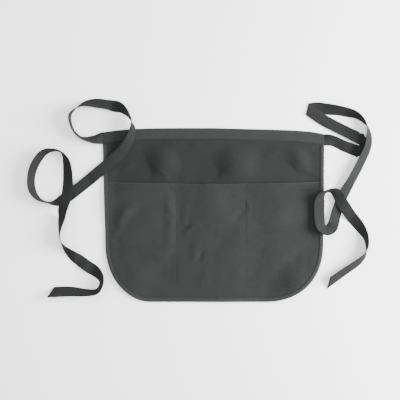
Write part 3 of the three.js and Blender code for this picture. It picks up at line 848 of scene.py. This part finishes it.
def foldedTape(name, places, inward, width, heights, lifts, seed, material):
    # places run along the outer edge, inward points into the cloth, lifts(x, y) raises the section
    along = lengthsAlong(places)
    wall, rim = shape["cloth"], tapeLook["rim"]
    turns = np.radians(np.linspace(-90, 90, 9))
    inner = width - tapeLook["stitchInset"]
    front, hollow = inner - 1.2 * mm, wall * 1.05
    # depth from the outer edge, offset in height, share of the section's height
    section = [(hollow, wall, 0.0), (width, wall, 0.0), (width, 0.0, 0.0)]
    section += [(rim * (1 - math.cos(t)), 0.0, (1 + math.sin(t)) / 2) for t in turns]
    section += [(mix(rim, front, k), 0.0, 1.0) for k in (0.3, 0.6, 0.85, 1.0)]
    section += [(inner, -tapeLook["groove"], 1.0), (inner + 0.9 * mm, 0.0, 1.0),
                (width - 0.15 * mm, -0.10 * mm, 1.0), (width, -0.35 * mm, 1.0),
                (width, -wall, 1.0), (hollow, -wall, 1.0)]
    depth, offset, share = (np.array(column) for column in zip(*section))
    flat = places[:, None, :] + inward[:, None, :] * depth[None, :, None]
    ripple = tapeLook["ripple"] * (softNoise(along[:, None], depth[None, :] * 0.6, 6 * mm, seed)
                                   + 0.8 * softNoise(along[:, None], depth[None, :], 17 * mm, seed + 1))
    onTop = share[None, :] > 0.99
    isFront = onTop & (offset[None, :] > -0.5 * wall)
    z = heights[:, None] * share[None, :] + offset[None, :] + np.where(isFront, ripple, 0.0)
    z = z + lifts(flat[..., 0], flat[..., 1])
    sections = np.concatenate([flat, z[..., None]], -1)
    girth = np.broadcast_to(np.cumsum(np.abs(np.diff(depth, prepend=depth[0]))), z.shape)
    uvs = np.stack([np.broadcast_to(along[:, None], z.shape), girth], -1)
    # lighter along the folded rim and the inner edge: rubbed wear with a painted highlight
    rimWearAndHighlight = np.exp(-(depth / (1.6 * mm)) ** 2) * (share > 0.4)
    rimWearAndHighlight = rimWearAndHighlight + 0.7 * (np.abs(depth - width) < 0.3 * mm)
    wearAndHighlight = np.broadcast_to(rimWearAndHighlight[None, :], z.shape)
    return loftPiece(name, sections, uvs, wearAndHighlight, material)


def evenPath(points, step):
    at = lengthsAlong(points)
    return valuesAt(np.linspace(0, at[-1], int(at[-1] / step)), at, points)


def bindingPlaces():
    gap, half = shape["gap"], shape["bandWidth"] / 2
    top = lambda side: float(bandMiddle(side * halfWidth)) - half - gap
    count = tapeLook["sidePoints"]
    leftY = np.linspace(top(-1), float(bottomEdge(0.0, 0.0)), count, endpoint=False)
    rightY = np.linspace(float(bottomEdge(1.0, 0.0)), top(1), count)
    s = sheetColumns(0.0)
    bottomY = bottomEdge(s, 0.0)
    bottom = np.stack([acrossAt(s, bottomY, 0.0), bottomY], -1)
    left = np.stack([leftEdge(leftY), leftY], -1)
    right = np.stack([rightEdge(rightY), rightY], -1)
    return evenPath(np.concatenate([left, bottom[1:-1], right]), tapeLook["station"])


def boundHeights(places):
    full = smooth((mouthHeight + 5 * mm - places[:, 1]) / (5 * mm))
    return mix(bandHeight, boundHeight, full)


# each course: line, way into the cloth, width, heights and what raises the tape
bindingLine = bindingPlaces()
bindingCourse = (bindingLine, leftOf(bindingLine), shape["bindingWidth"],
                 boundHeights(bindingLine), waveHeight)
bindingTape = foldedTape("bindingTape", *bindingCourse, noiseSeed["binding"], bindingMaterial)

bandX = np.linspace(halfWidth, -halfWidth, int(shape["width"] / tapeLook["station"]))
bandLine = np.stack([bandX, bandMiddle(bandX) + shape["bandWidth"] / 2], -1)
bandCourse = (bandLine, np.tile([0.0, -1.0], (len(bandX), 1)), shape["bandWidth"],
              np.full(len(bandX), bandHeight), lambda x, y: 0.0 * x)
bandTape = foldedTape("waistbandTape", *bandCourse, noiseSeed["waistband"], tapeMaterial)
print("binding and waistband made")


# Ties: a smooth line through each run of rows, laid down on what is beneath

tieLook = {
    "width": 25 * mm,
    "thickness": 1.6 * mm,
    "unit": 2.2 * mm,               # of the tables' columns across and up
    "reach": 16 * mm,               # how soon a tie climbs to what it crosses
    "station": 10 * mm,             # while it is laid
    "fineStation": 2.6 * mm,        # of the mesh
    "cornerPitch": 30 * mm,         # between the creases of the right tie's square turn
    "tuck": 0.3 * mm,               # how far a tie starts inside the waistband's end
    "shadeFadeLength": 45 * mm,          # over which its painted shade darkens it from the waistband's tone
    "groove": 0.22 * mm,
    "stitchAt": 0.83,               # of the half width
    "ripple": 0.16 * mm,
    "turnPoints": 9,                # round each fold
}

# each row: across, up, bank in degrees, lift in layers, fold (1 over, -1 beneath)
leftTieRows = [
    (0, 0, 0), (-8.2, -1.6, 40), (-21.3, 0.1, 78), (-29.5, 8.5, 85), (-32.5, 21.5, 84),
    (-28.5, 27.5, 92), (-18.5, 33.5, 118), (-7, 34.5, 146), (7, 32.6, 160), (18.4, 29.4, 218),
    (25.6, 22.6, 252), (28.8, 16.8, 263), (30.2, 10.6, 291), (28.2, 0.8, 312), (19.8, -12.7, 338),
    (1, -29.7, 364), (-23.7, -50, 347), (-35, -58.5, 360), (-44.5, -63.9, 402), (-53.5, -64.6, 444),
    (-63.5, -61, 436), (-70, -52, 420), (-70.9, -38.5, 417), (-67, -26, 414), (-58.5, -15, 422),
    (-49.8, -12.3, 438), (-41.5, -14.2, 442), (-36.2, -24, 406), (-34.7, -43.7, 383),
    (-36, -60, 376), (-40.3, -78, 402), (-42.7, -94, 434), (-41.3, -104, 440),
    (-33.4, -114.3, 404), (-16.5, -127.3, 346), (-5, -135.5, 388), (-0.9, -143.5, 423),
    (-5, -152.6, 426), (-15, -154.3, 418), (-32, -153.2, 397), (-51.9, -153.9, 390),
]
rightTieRows = [
    (0, 0, 0), (8, -0.9, 26), (20.2, -6.5, 24), (30, -10, 4), (38.2, -13.2, 0, 0, 1),
    (41.6, -1.6, 180, 1.75, 1), (35.8, 0.9, 360), (23.4, 7.4, 370), (10.6, 13.8, 368, 0.4),
    (-2.1, 20.5, 360, 1), (-11.7, 27, 360, 1), (-16.4, 30.6, 360, 1, -1), (-7.2, 32, 540),
    (1.7, 30.8, 550), (13.2, 29.2, 575), (23.4, 27, 582), (32, 24, 602), (38.6, 18.5, 622),
    (42.6, 13, 642), (44.1, 5, 665), (42.8, -6.5, 675), (36.1, -22.5, 681), (27, -40, 684),
    (18.2, -56, 700), (12.5, -71, 702), (9.2, -83, 708), (6.8, -87.8, 728), (1.2, -90.4, 754),
    (-3.6, -87, 754), (-5.2, -78, 740), (-5.4, -65, 740), (-4.2, -56.8, 760), (0, -52.2, 794),
    (5.8, -50.6, 788), (11.4, -53.4, 755), (17, -62.4, 738), (25, -74, 732), (34.5, -86, 752),
    (41, -98, 790), (42, -107.6, 810), (40.3, -114.2, 830), (34.5, -121, 848),
    (20, -131.2, 856), (4, -142.6, 860),
]
tieEnds = {"left": 31, "right": -38}        # how far the cut end leans from square, in degrees


def hermite(at, values, where):
    # smooth curve through the columns of values at the given stations
    slopes = np.empty_like(values)
    slopes[1:-1] = (values[2:] - values[:-2]) / (at[2:] - at[:-2])[:, None]
    slopes[0] = (values[1] - values[0]) / (at[1] - at[0])
    slopes[-1] = (values[-1] - values[-2]) / (at[-1] - at[-2])
    i = np.clip(np.searchsorted(at, where, side="right") - 1, 0, len(at) - 2)
    gap = (at[i + 1] - at[i])[:, None]
    k = ((where - at[i]) / (at[i + 1] - at[i]))[:, None]
    a, b, rise = slopes[i] * gap, slopes[i + 1] * gap, values[i + 1] - values[i]
    return values[i] + k * (a + k * (3 * rise - 2 * a - b + k * (a + b - 2 * rise)))


def splitRuns(rows, start):
    runs = [[]]
    folds = [0]
    for row in rows:
        across, up, bank, lift, fold = (*row, 0, 0)[:5]
        place = (start[0] + across * tieLook["unit"], start[1] + up * tieLook["unit"], bank, lift)
        runs[-1].append(place)
        if fold:
            runs.append([(place[0], place[1], bank + 180, 0 if fold < 0 else lift)])
            folds.append(fold)
    for i, run in enumerate(runs):
        if i > 0 and len(run) == 2:
            (x0, y0), (x1, y1) = run[0][:2], run[1][:2]
            keep = tieLook["cornerPitch"] / math.hypot(x1 - x0, y1 - y0)
            end = (x0 + (x1 - x0) * keep, y0 + (y1 - y0) * keep)
            run[1] = (*end, *run[1][2:])
            runs[i + 1][0] = (*end, *runs[i + 1][0][2:])
    return [np.array(run, float) for run in runs], folds


def flatTravel(xy):
    travel = np.empty_like(xy)
    travel[1:-1] = xy[2:] - xy[:-2]
    travel[0], travel[-1] = xy[1] - xy[0], xy[-1] - xy[-2]
    return unit(travel)


def ribsOf(travel, bank, slant):
    turn = np.radians(bank)
    rib = np.zeros((len(bank), 3))
    rib[:, 0], rib[:, 1] = -travel[:, 1] * np.cos(turn), travel[:, 0] * np.cos(turn)
    rib[:, 2] = np.sin(turn)
    rib[:, :2] += travel * slant[:, None]
    return rib * tieLook["width"] / 2


def easedSlants(at, first, last):
    reach = min(tieLook["width"] * 1.2, at[-1] - at[0])
    return (first * np.maximum(1 - (at - at[0]) / reach, 0.0)
            + last * np.maximum(1 - (at[-1] - at) / reach, 0.0))


def makeRuns(rows, start, endSlant):
    runs = []
    at = 0.0
    shaped, folds = splitRuns(rows, start)
    for number, values in enumerate(shaped):
        chords = np.linalg.norm(np.diff(values[:, :2], axis=0), axis=1)
        knots = np.concatenate([[0], np.cumsum(chords)])
        counts = np.maximum(np.round(chords / tieLook["station"]), 1).astype(int)
        where = np.concatenate([np.linspace(a, b, n, endpoint=False)
                                for a, b, n in zip(knots[:-1], knots[1:], counts)] + [[knots[-1]]])
        placed = hermite(knots, values, where)
        xy = placed[:, :2]
        steps = lengthsAlong(xy)
        runs.append({"xy": xy, "bank": placed[:, 2], "lift": placed[:, 3], "at": at + steps,
                     "travel": flatTravel(xy), "foldIn": folds[number], "first": 0.0, "last": 0.0})
        at += steps[-1]
    start = runs[0]["travel"][0]
    runs[0]["first"] = start[1] / start[0]
    for run, following in zip(runs[:-1], runs[1:]):
        before, after = run["travel"][-1], following["travel"][0]
        out = (before - after) / np.linalg.norm(before - after)
        crease, left = np.array([-out[1], out[0]]), np.array([-before[1], before[0]])
        slant = crease @ before / (crease @ left) * math.cos(math.radians(run["bank"][-1]))
        run["last"] = following["first"] = slant
        run["out"] = out
    runs[-1]["last"] = math.tan(math.radians(endSlant))
    return runs


def apronTop(x, y, margin):
    # top of the apron at a place, or the table; the margin widens the apron
    inside, below = edgeDistance(x, y), belowBand(x, y)
    s = (x - leftEdge(y)) / (rightEdge(y) - leftEdge(y))
    ground = panelDetail(x, y)
    pocket = pocketDetail(s, x, y, ground) + shape["cloth"] + shape["hemThickness"]
    top = np.where(y < mouthEdge(s) + margin, pocket, ground + shape["cloth"])
    isPocket = y < mouthHeight + shape["bandWidth"] / 2
    bound = waveHeight(x, y) + np.where(isPocket, boundHeight, bandHeight)
    top = np.where(inside < shape["bindingWidth"] + margin, bound, top)
    top = np.where(below < margin, bandHeight, top)
    outside = (inside < -margin) | (below < -shape["bandWidth"] - margin)
    return np.where(outside, 0.0, top)


def heightOver(x, y, low, high, skin):
    # top of the strips between ribs low and high at each x, y; places x strips
    best = np.zeros((len(x), len(low[0])))
    (a, b), (d, c) = low, high
    for p, q, r in ((a, b, c), (a, c, d)):
        area = (q[:, 0] - p[:, 0]) * (r[:, 1] - p[:, 1]) - (r[:, 0] - p[:, 0]) * (q[:, 1] - p[:, 1])
        safe = np.where(np.abs(area) < 1e-12, 1.0, area)
        u = ((q[:, 0] - x) * (r[:, 1] - y) - (r[:, 0] - x) * (q[:, 1] - y)) / safe
        v = ((r[:, 0] - x) * (p[:, 1] - y) - (p[:, 0] - x) * (r[:, 1] - y)) / safe
        w = 1 - u - v
        over = (np.minimum(np.minimum(u, v), w) > -0.02) & (np.abs(area) > 1e-12)
        top = u * p[:, 2] + v * q[:, 2] + w * r[:, 2] + skin
        best = np.where(over, np.maximum(best, top), best)
    return best


def layTie(runs):
    thickness, width = tieLook["thickness"], tieLook["width"]
    joined = lambda key: np.concatenate([run[key] for run in runs])
    number = np.concatenate([np.full(len(run["at"]), i) for i, run in enumerate(runs)])
    foldIn = np.array([run["foldIn"] for run in runs])[number]
    slants = np.concatenate([easedSlants(run["at"], run["first"], run["last"]) for run in runs])
    xy, bank, lift, at, travel = (joined(key) for key in ("xy", "bank", "lift", "at", "travel"))
    rib = ribsOf(travel, bank, slants)
    flatness, steepness = np.abs(np.cos(np.radians(bank))), np.abs(np.sin(np.radians(bank)))
    rest = width / 2 * steepness + thickness / 2 * flatness
    skin = thickness / 2 / np.maximum(flatness, 0.35)
    ks = np.arange(-1.2, 1.3, 0.2)
    ahead = np.array([-0.5, 0.0, 0.5]) * tieLook["station"]
    k, step = (grid.ravel() for grid in np.meshgrid(ks, ahead))
    tests = xy[:, None, :] + k[:, None] * rib[:, None, :2] + step[:, None] * travel[:, None, :]
    ribHeight = np.clip(k, -1, 1)[None, :] * rib[:, 2:3]
    margin = np.where(at > 2 * width, width / 6, 0.0)[:, None]
    ground = apronTop(tests[..., 0], tests[..., 1], margin)
    z = rest.copy()
    for _ in range(4):
        centre = np.concatenate([xy, z[:, None]], 1)
        left, right = centre + rib, centre - rib
        raised = np.zeros(len(z))
        for i in range(len(z)):
            j = np.arange(0, max(i - 1, 0))
            j = j[number[j] == number[j + 1]]
            sameRun = number[j] == number[i]
            isLater = sameRun & (at[i] - at[j + 1] <= 2 * width)
            isFolded = ~sameRun & (foldIn[i] < 0) & (number[j] == number[i] - 1) & (lift[j + 1] > 0)
            j = j[~isLater & ~isFolded]
            j = j[np.linalg.norm(xy[j] - xy[i], axis=1) < 3 * width]
            top = ground[i]
            if len(j):
                x, y = tests[i, :, 0:1], tests[i, :, 1:2]
                over = heightOver(x, y, (left[j], right[j]), (left[j + 1], right[j + 1]),
                                  np.maximum(skin[j], skin[j + 1]))
                top = np.maximum(top, over.max(axis=1))
            needed = np.where(top > 0, top + shape["gap"] + skin[i] - ribHeight[i], 0.0)
            raised[i] = max(needed.max() - rest[i], 0.0)
        raised[0] = bandHeight - thickness      # its top is flush with the waistband's
        near = (np.abs(at[:, None] - at[None, :]) <= tieLook["reach"]) & (number[:, None] == number)
        spread = np.where(near, raised[None, :], 0.0).max(axis=1)
        weight = np.where(near, hump((at[:, None] - at) / (tieLook["reach"] * 1.01)), 0.0)
        eased = weight @ spread / weight.sum(axis=1)
        z = rest + np.maximum(eased, lift * (thickness + shape["gap"]))
    first = 0
    for run in runs:
        run["z"] = z[first:first + len(run["at"])]
        first += len(run["at"])


def tieSection():
    # across as a share of the half width, and height as a share of half the thickness
    groove = tieLook["groove"] / tieLook["thickness"] * 2
    side = [(1.0, 0.0), (0.985, 0.62), (0.95, 0.92), (0.90, 1.0), (tieLook["stitchAt"], 1 - groove),
            (0.76, 1.0), (0.4, 1.03)]
    top = side + [(0.0, 1.04)] + [(-a, h) for a, h in side[::-1]]
    return np.array(top + [(-a, -h) for a, h in top[1:-1]])


def makeTie(name, side, rows):
    start = (side * (halfWidth - tieLook["tuck"]), float(bandMiddle(side * halfWidth)))
    runs = makeRuns(rows, start, tieEnds["left" if side < 0 else "right"])
    layTie(runs)
    centres, ribs, ways = [], [], []
    turnPoints = tieLook["turnPoints"]
    for i, run in enumerate(runs):
        at = run["at"]
        fine = np.linspace(at[0], at[-1], max(int((at[-1] - at[0]) / tieLook["fineStation"]), 4))
        values = np.concatenate([run["xy"], run["z"][:, None], run["bank"][:, None]], 1)
        placed = hermite(at, values, fine)
        travel = flatTravel(placed[:, :2])
        travel[0], travel[-1] = run["travel"][0], run["travel"][-1]
        rib = ribsOf(travel, placed[:, 3], easedSlants(fine, run["first"], run["last"]))
        way = np.gradient(placed[:, :3], axis=0)
        first = 1 if i > 0 else 0
        last = len(fine) - 1 if i + 1 < len(runs) else len(fine)
        centres.append(placed[first:last, :3])
        ribs.append(rib[first:last])
        ways.append(way[first:last])
        if i + 1 < len(runs):
            turn = np.linspace(0, np.pi, turnPoints)[:, None]
            rise = runs[i + 1]["z"][0] - run["z"][-1]
            out = np.array([*run["out"], 0.0])
            up = np.array([0.0, 0.0, 1.0])
            low = np.array([*run["xy"][-1], run["z"][-1]])
            centres.append(low + out * abs(rise) / 2 * np.sin(turn) + up * rise * (1 - np.cos(turn)) / 2)
            ribs.append(np.repeat(rib[-1:], turnPoints, axis=0))
            ways.append(out * np.cos(turn) + up * np.sign(rise) * np.sin(turn))
    centre, rib, way = (np.concatenate(part) for part in (centres, ribs, ways))
    along = lengthsAlong(centre)
    normal = unit(np.cross(way, rib))
    section = tieSection()
    seed = noiseSeed["tie"] + side
    bump = tieLook["ripple"] * softNoise(along[:, None], section[:, 0] * 12 * mm, 9 * mm, seed)
    swell = section[:, 1] * tieLook["thickness"] / 2
    isFace = np.abs(section[:, 1]) > 0.9
    offset = swell[None, :] + np.where(isFace, bump - tieLook["ripple"], 0.0) * np.sign(section[:, 1])
    sections = (centre[:, None, :] + rib[:, None, :] * section[None, :, 0:1]
                + normal[:, None, :] * offset[..., None])
    uv = np.stack([np.broadcast_to(along[:, None], offset.shape),
                   np.broadcast_to(section[None, :, 0] * tieLook["width"] / 2, offset.shape)], -1)
    # lighter along the tie's edges: rubbed wear with a painted highlight
    rim = 0.2 * np.maximum(1 - (1 - np.abs(section[:, 0])) / 0.06, 0.0)
    wearAndHighlight = np.broadcast_to(rim[None, :], offset.shape)
    piece = loftPiece(name, sections, uv, wearAndHighlight, shadedTieMaterial)
    # 1 by the waistband, where the tie's painted shade is taken off, fading to 0 along the tie
    unshadedNearBand = np.repeat(1 - smooth(along / tieLook["shadeFadeLength"]), len(section))
    layer = piece.data.attributes.new("unshadedNearBand", "FLOAT", "POINT")
    layer.data.foreach_set("value", unshadedNearBand.astype(np.float32))
    return piece, {"centre": centre, "rib": rib, "normal": normal, "along": along}


tieLeftTape, tieLeftLine = makeTie("tieLeftTape", -1, leftTieRows)
tieRightTape, tieRightLine = makeTie("tieRightTape", 1, rightTieRows)
print("ties made:", tieLeftLine["along"][-1], tieRightLine["along"][-1])


# Stitches: short arched threads, half sunk in the cloth

stitchLook = {
    "pitch": 3.1 * mm,
    "length": 2.5 * mm,
    "radius": 0.26 * mm,
    "lift": 0.02 * mm,
    "sides": 6,
    "reading": 0.5 * mm,            # how far either side of a stitch its direction is read
    "underside": 0.25 * mm,         # height of the stitches under a tape
    "sink": 0.05 * mm,              # of the pocket's rows
    # share of the length, share of the radius, height in radii
    "rings": [(-0.5, 0.5, -1.1), (-0.36, 0.9, -0.3), (0.0, 1.0, 0.3), (0.36, 0.9, -0.3),
              (0.5, 0.5, -1.1)],
}


def stitchPiece(name, middles, ways, normals):
    sides, rings = stitchLook["sides"], stitchLook["rings"]
    ways = unit(ways)
    asides = unit(np.cross(normals, ways))
    normals = np.cross(ways, asides)
    turns = np.arange(sides) * 2 * np.pi / sides
    points = []
    for share, fat, height in rings:
        middle = middles + ways * share * stitchLook["length"]
        middle = middle + normals * (stitchLook["lift"] + height * stitchLook["radius"])
        radius = stitchLook["radius"] * fat
        for t in turns:
            points.append(middle + asides * radius * math.cos(t) + normals * radius * math.sin(t))
    size = len(rings) * sides
    points = np.stack(points, 1).reshape(-1, 3)
    quads = gridFaces(len(rings), sides, closeColumns=True)
    caps = [tuple(range(sides))[::-1], tuple(size - sides + k for k in range(sides))]
    faces = []
    for i in range(len(middles)):
        faces.extend((quads + i * size).tolist())
        faces.extend([[k + i * size for k in cap] for cap in caps])
    return meshPiece(name, points, faces, material=sewingThread)


def stitchPlaces(at, points):
    # where stitches lie along a line, their middles and their directions
    where = np.arange(stitchLook["pitch"] / 2, at[-1], stitchLook["pitch"])
    reading = stitchLook["reading"]
    ways = valuesAt(where + reading, at, points) - valuesAt(where - reading, at, points)
    return where, valuesAt(where, at, points), ways


def rowOfStitches(points):
    _, middles, ways = stitchPlaces(lengthsAlong(points), points)
    return middles, ways


def upright(middles):
    return np.tile([0.0, 0.0, 1.0], (len(middles), 1))


def tapeStitches(name, line, inward, width, heights, lifts):
    inner = width - tapeLook["stitchInset"]
    flat = line + inward * inner
    top = heights + lifts(flat[:, 0], flat[:, 1]) - tapeLook["groove"]
    middles, ways = rowOfStitches(np.concatenate([flat, top[:, None]], 1))
    bottom = lifts(flat[:, 0], flat[:, 1]) + stitchLook["underside"]
    under, back = rowOfStitches(np.concatenate([flat, bottom[:, None]], 1))
    return stitchPiece(name, np.concatenate([middles, under]), np.concatenate([ways, back]),
                       np.concatenate([upright(middles), -upright(under)]))


def tieStitches(name, line, side):
    edge = side * tieLook["stitchAt"]
    half = tieLook["thickness"] / 2 - tieLook["groove"] - tieLook["ripple"]
    parts = []
    for face in (1, -1):
        points = line["centre"] + line["rib"] * edge + line["normal"] * half * face
        where, middles, ways = stitchPlaces(line["along"], points)
        normals = valuesAt(where, line["along"], line["normal"]) * face
        # none where the line turns so tightly that a stitch would have no length
        keep = np.linalg.norm(ways, axis=1) > 0.3 * mm
        parts.append((middles[keep], ways[keep], normals[keep]))
    return stitchPiece(name, *(np.concatenate(part) for part in zip(*parts)))


def pocketStitches():
    s, x, y, high = pocketTop
    sink = stitchLook["sink"]
    parts = []
    below = mouthEdge(s)[None, :] - y
    for depth in sheetGrid["hemStitches"]:
        row = []
        for column in range(3, len(s) - 3):
            height = np.interp(depth, below[:, column], high[:, column])
            place = np.interp(depth, below[:, column], x[:, column])
            row.append((place, float(mouthEdge(s[column])) - depth, height - sink))
        parts.append(rowOfStitches(np.array(row)))
    for division in shape["divisions"]:
        column = int(np.argmin(np.abs(s - division)))
        fromEdge = edgeDistance(x[:, column], y[:, column])
        isShown = (below[:, column] > 0.6 * mm) & (fromEdge > shape["bindingWidth"])
        row = np.stack([x[isShown, column], y[isShown, column], high[isShown, column] - sink], -1)
        parts.append(rowOfStitches(row))
    middles, ways = (np.concatenate(part) for part in zip(*parts))
    return stitchPiece("pocketStitches", middles, ways, upright(middles))


bindingStitches = tapeStitches("bindingStitches", *bindingCourse)
bandStitches = tapeStitches("waistbandStitches", *bandCourse)
leftStitches = tieStitches("tieLeftStitches", tieLeftLine, 1)
rightStitches = tieStitches("tieRightStitches", tieRightLine, -1)
seamStitches = pocketStitches()
print("stitches made")


# What each piece stands for

riders = [
    (panelCloth, "panel", "panel_cloth"), (pocketCloth, "pocket", "pocket_cloth"),
    (bindingTape, "binding", "edge_tape"), (bandTape, "waistband", "waist_tape"),
    (tieLeftTape, "tie_left", "tie_tape"), (tieRightTape, "tie_right", "tie_tape"),
    (bindingStitches, None, "edge_tape"), (bandStitches, None, "waist_tape"),
    (leftStitches, None, "tie_tape"), (rightStitches, None, "tie_tape"),
    (seamStitches, None, "pocket_cloth"),
]
for piece, node, slot in riders:
    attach(piece, "root")
    if node is not None:
        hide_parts(node)


# Flat sizes: what each sheet was cut to, without its folds


def outlineArea(x, y):
    # area inside the rim of a grid of places, seen from above
    rim = lambda a: np.concatenate([a[0, :-1], a[:-1, -1], a[-1, :0:-1], a[:0:-1, 0]])
    rimX, rimY = rim(x), rim(y)
    return abs(float(rimX @ np.roll(rimY, -1) - rimY @ np.roll(rimX, -1))) / 2


def clothAreas():
    s = sheetColumns(sheetGrid["inset"])
    upperX, upperY = upperPlaces(s)
    lowerX, lowerY = lowerPlaces(s)
    panel = outlineArea(np.concatenate([upperX, lowerX]), np.concatenate([upperY, lowerY]))
    hem = shape["hemDepth"] * float(lowerX[0, -1] - lowerX[0, 0])
    return panel, outlineArea(lowerX, lowerY) + hem


panelArea, pocketArea = clothAreas()
print("pieces declared, flat areas:", panelArea, pocketArea)


# Floor, light and camera

studio = {
    "floor": (0.95, 0.95, 0.95),
    "floorHalf": 6.0,
    "key": {"place": (1.6, -0.10, 0.76), "size": 1.1, "power": 175.0},
    "fill": {"place": (-0.4, 0.3, 2.4), "size": 2.2, "power": 62.0},
    "world": 1.25,
    "lens": 85.0,
    "sensor": 36.0,
    "frameWidth": 880 * mm,         # of the table that the photograph shows
    "middle": (-29.8 * mm, -146.1 * mm),
}


def makeFloor():
    size = studio["floorHalf"]
    points = [(-size, -size, 0), (size, -size, 0), (size, size, 0), (-size, size, 0)]
    material, _, shader = newMaterial("paleFloor")
    shader.inputs["Base Color"].default_value = (*studio["floor"], 1.0)
    shader.inputs["Roughness"].default_value = 0.9
    shader.inputs["Specular IOR Level"].default_value = 0.1
    floor = meshPiece("floor", points, [(0, 1, 2, 3)], material=material, flat=True)
    floor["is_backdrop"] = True


def makeLight(name):
    look = studio[name]
    light = bpy.data.lights.new(name, "AREA")
    light.size = look["size"]
    light.energy = look["power"]
    lamp = bpy.data.objects.new(name, light)
    lamp.location = look["place"]
    aim = Vector((*studio["middle"], 0.0)) - Vector(look["place"])
    lamp.rotation_euler = aim.to_track_quat("-Z", "Y").to_euler()
    scene.collection.objects.link(lamp)


def makeCamera():
    camera = bpy.data.cameras.new("camera")
    camera.lens = studio["lens"]
    camera.sensor_width = studio["sensor"]
    stand = bpy.data.objects.new("camera", camera)
    distance = studio["frameWidth"] * studio["lens"] / studio["sensor"]
    stand.location = (*studio["middle"], distance)
    scene.collection.objects.link(stand)
    scene.camera = stand


makeFloor()
makeLight("key")
makeLight("fill")
makeCamera()
world = bpy.data.worlds.new("studio")
world.use_nodes = True
world.node_tree.nodes["Background"].inputs["Color"].default_value = (1.0, 1.0, 1.0, 1.0)
world.node_tree.nodes["Background"].inputs["Strength"].default_value = studio["world"]
scene.world = world

sizes = {"cad": [list(map(float, corner)) for corner in cadBox],
         "scene": [list(map(float, corner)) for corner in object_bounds()]}
print("stage set:", sizes)
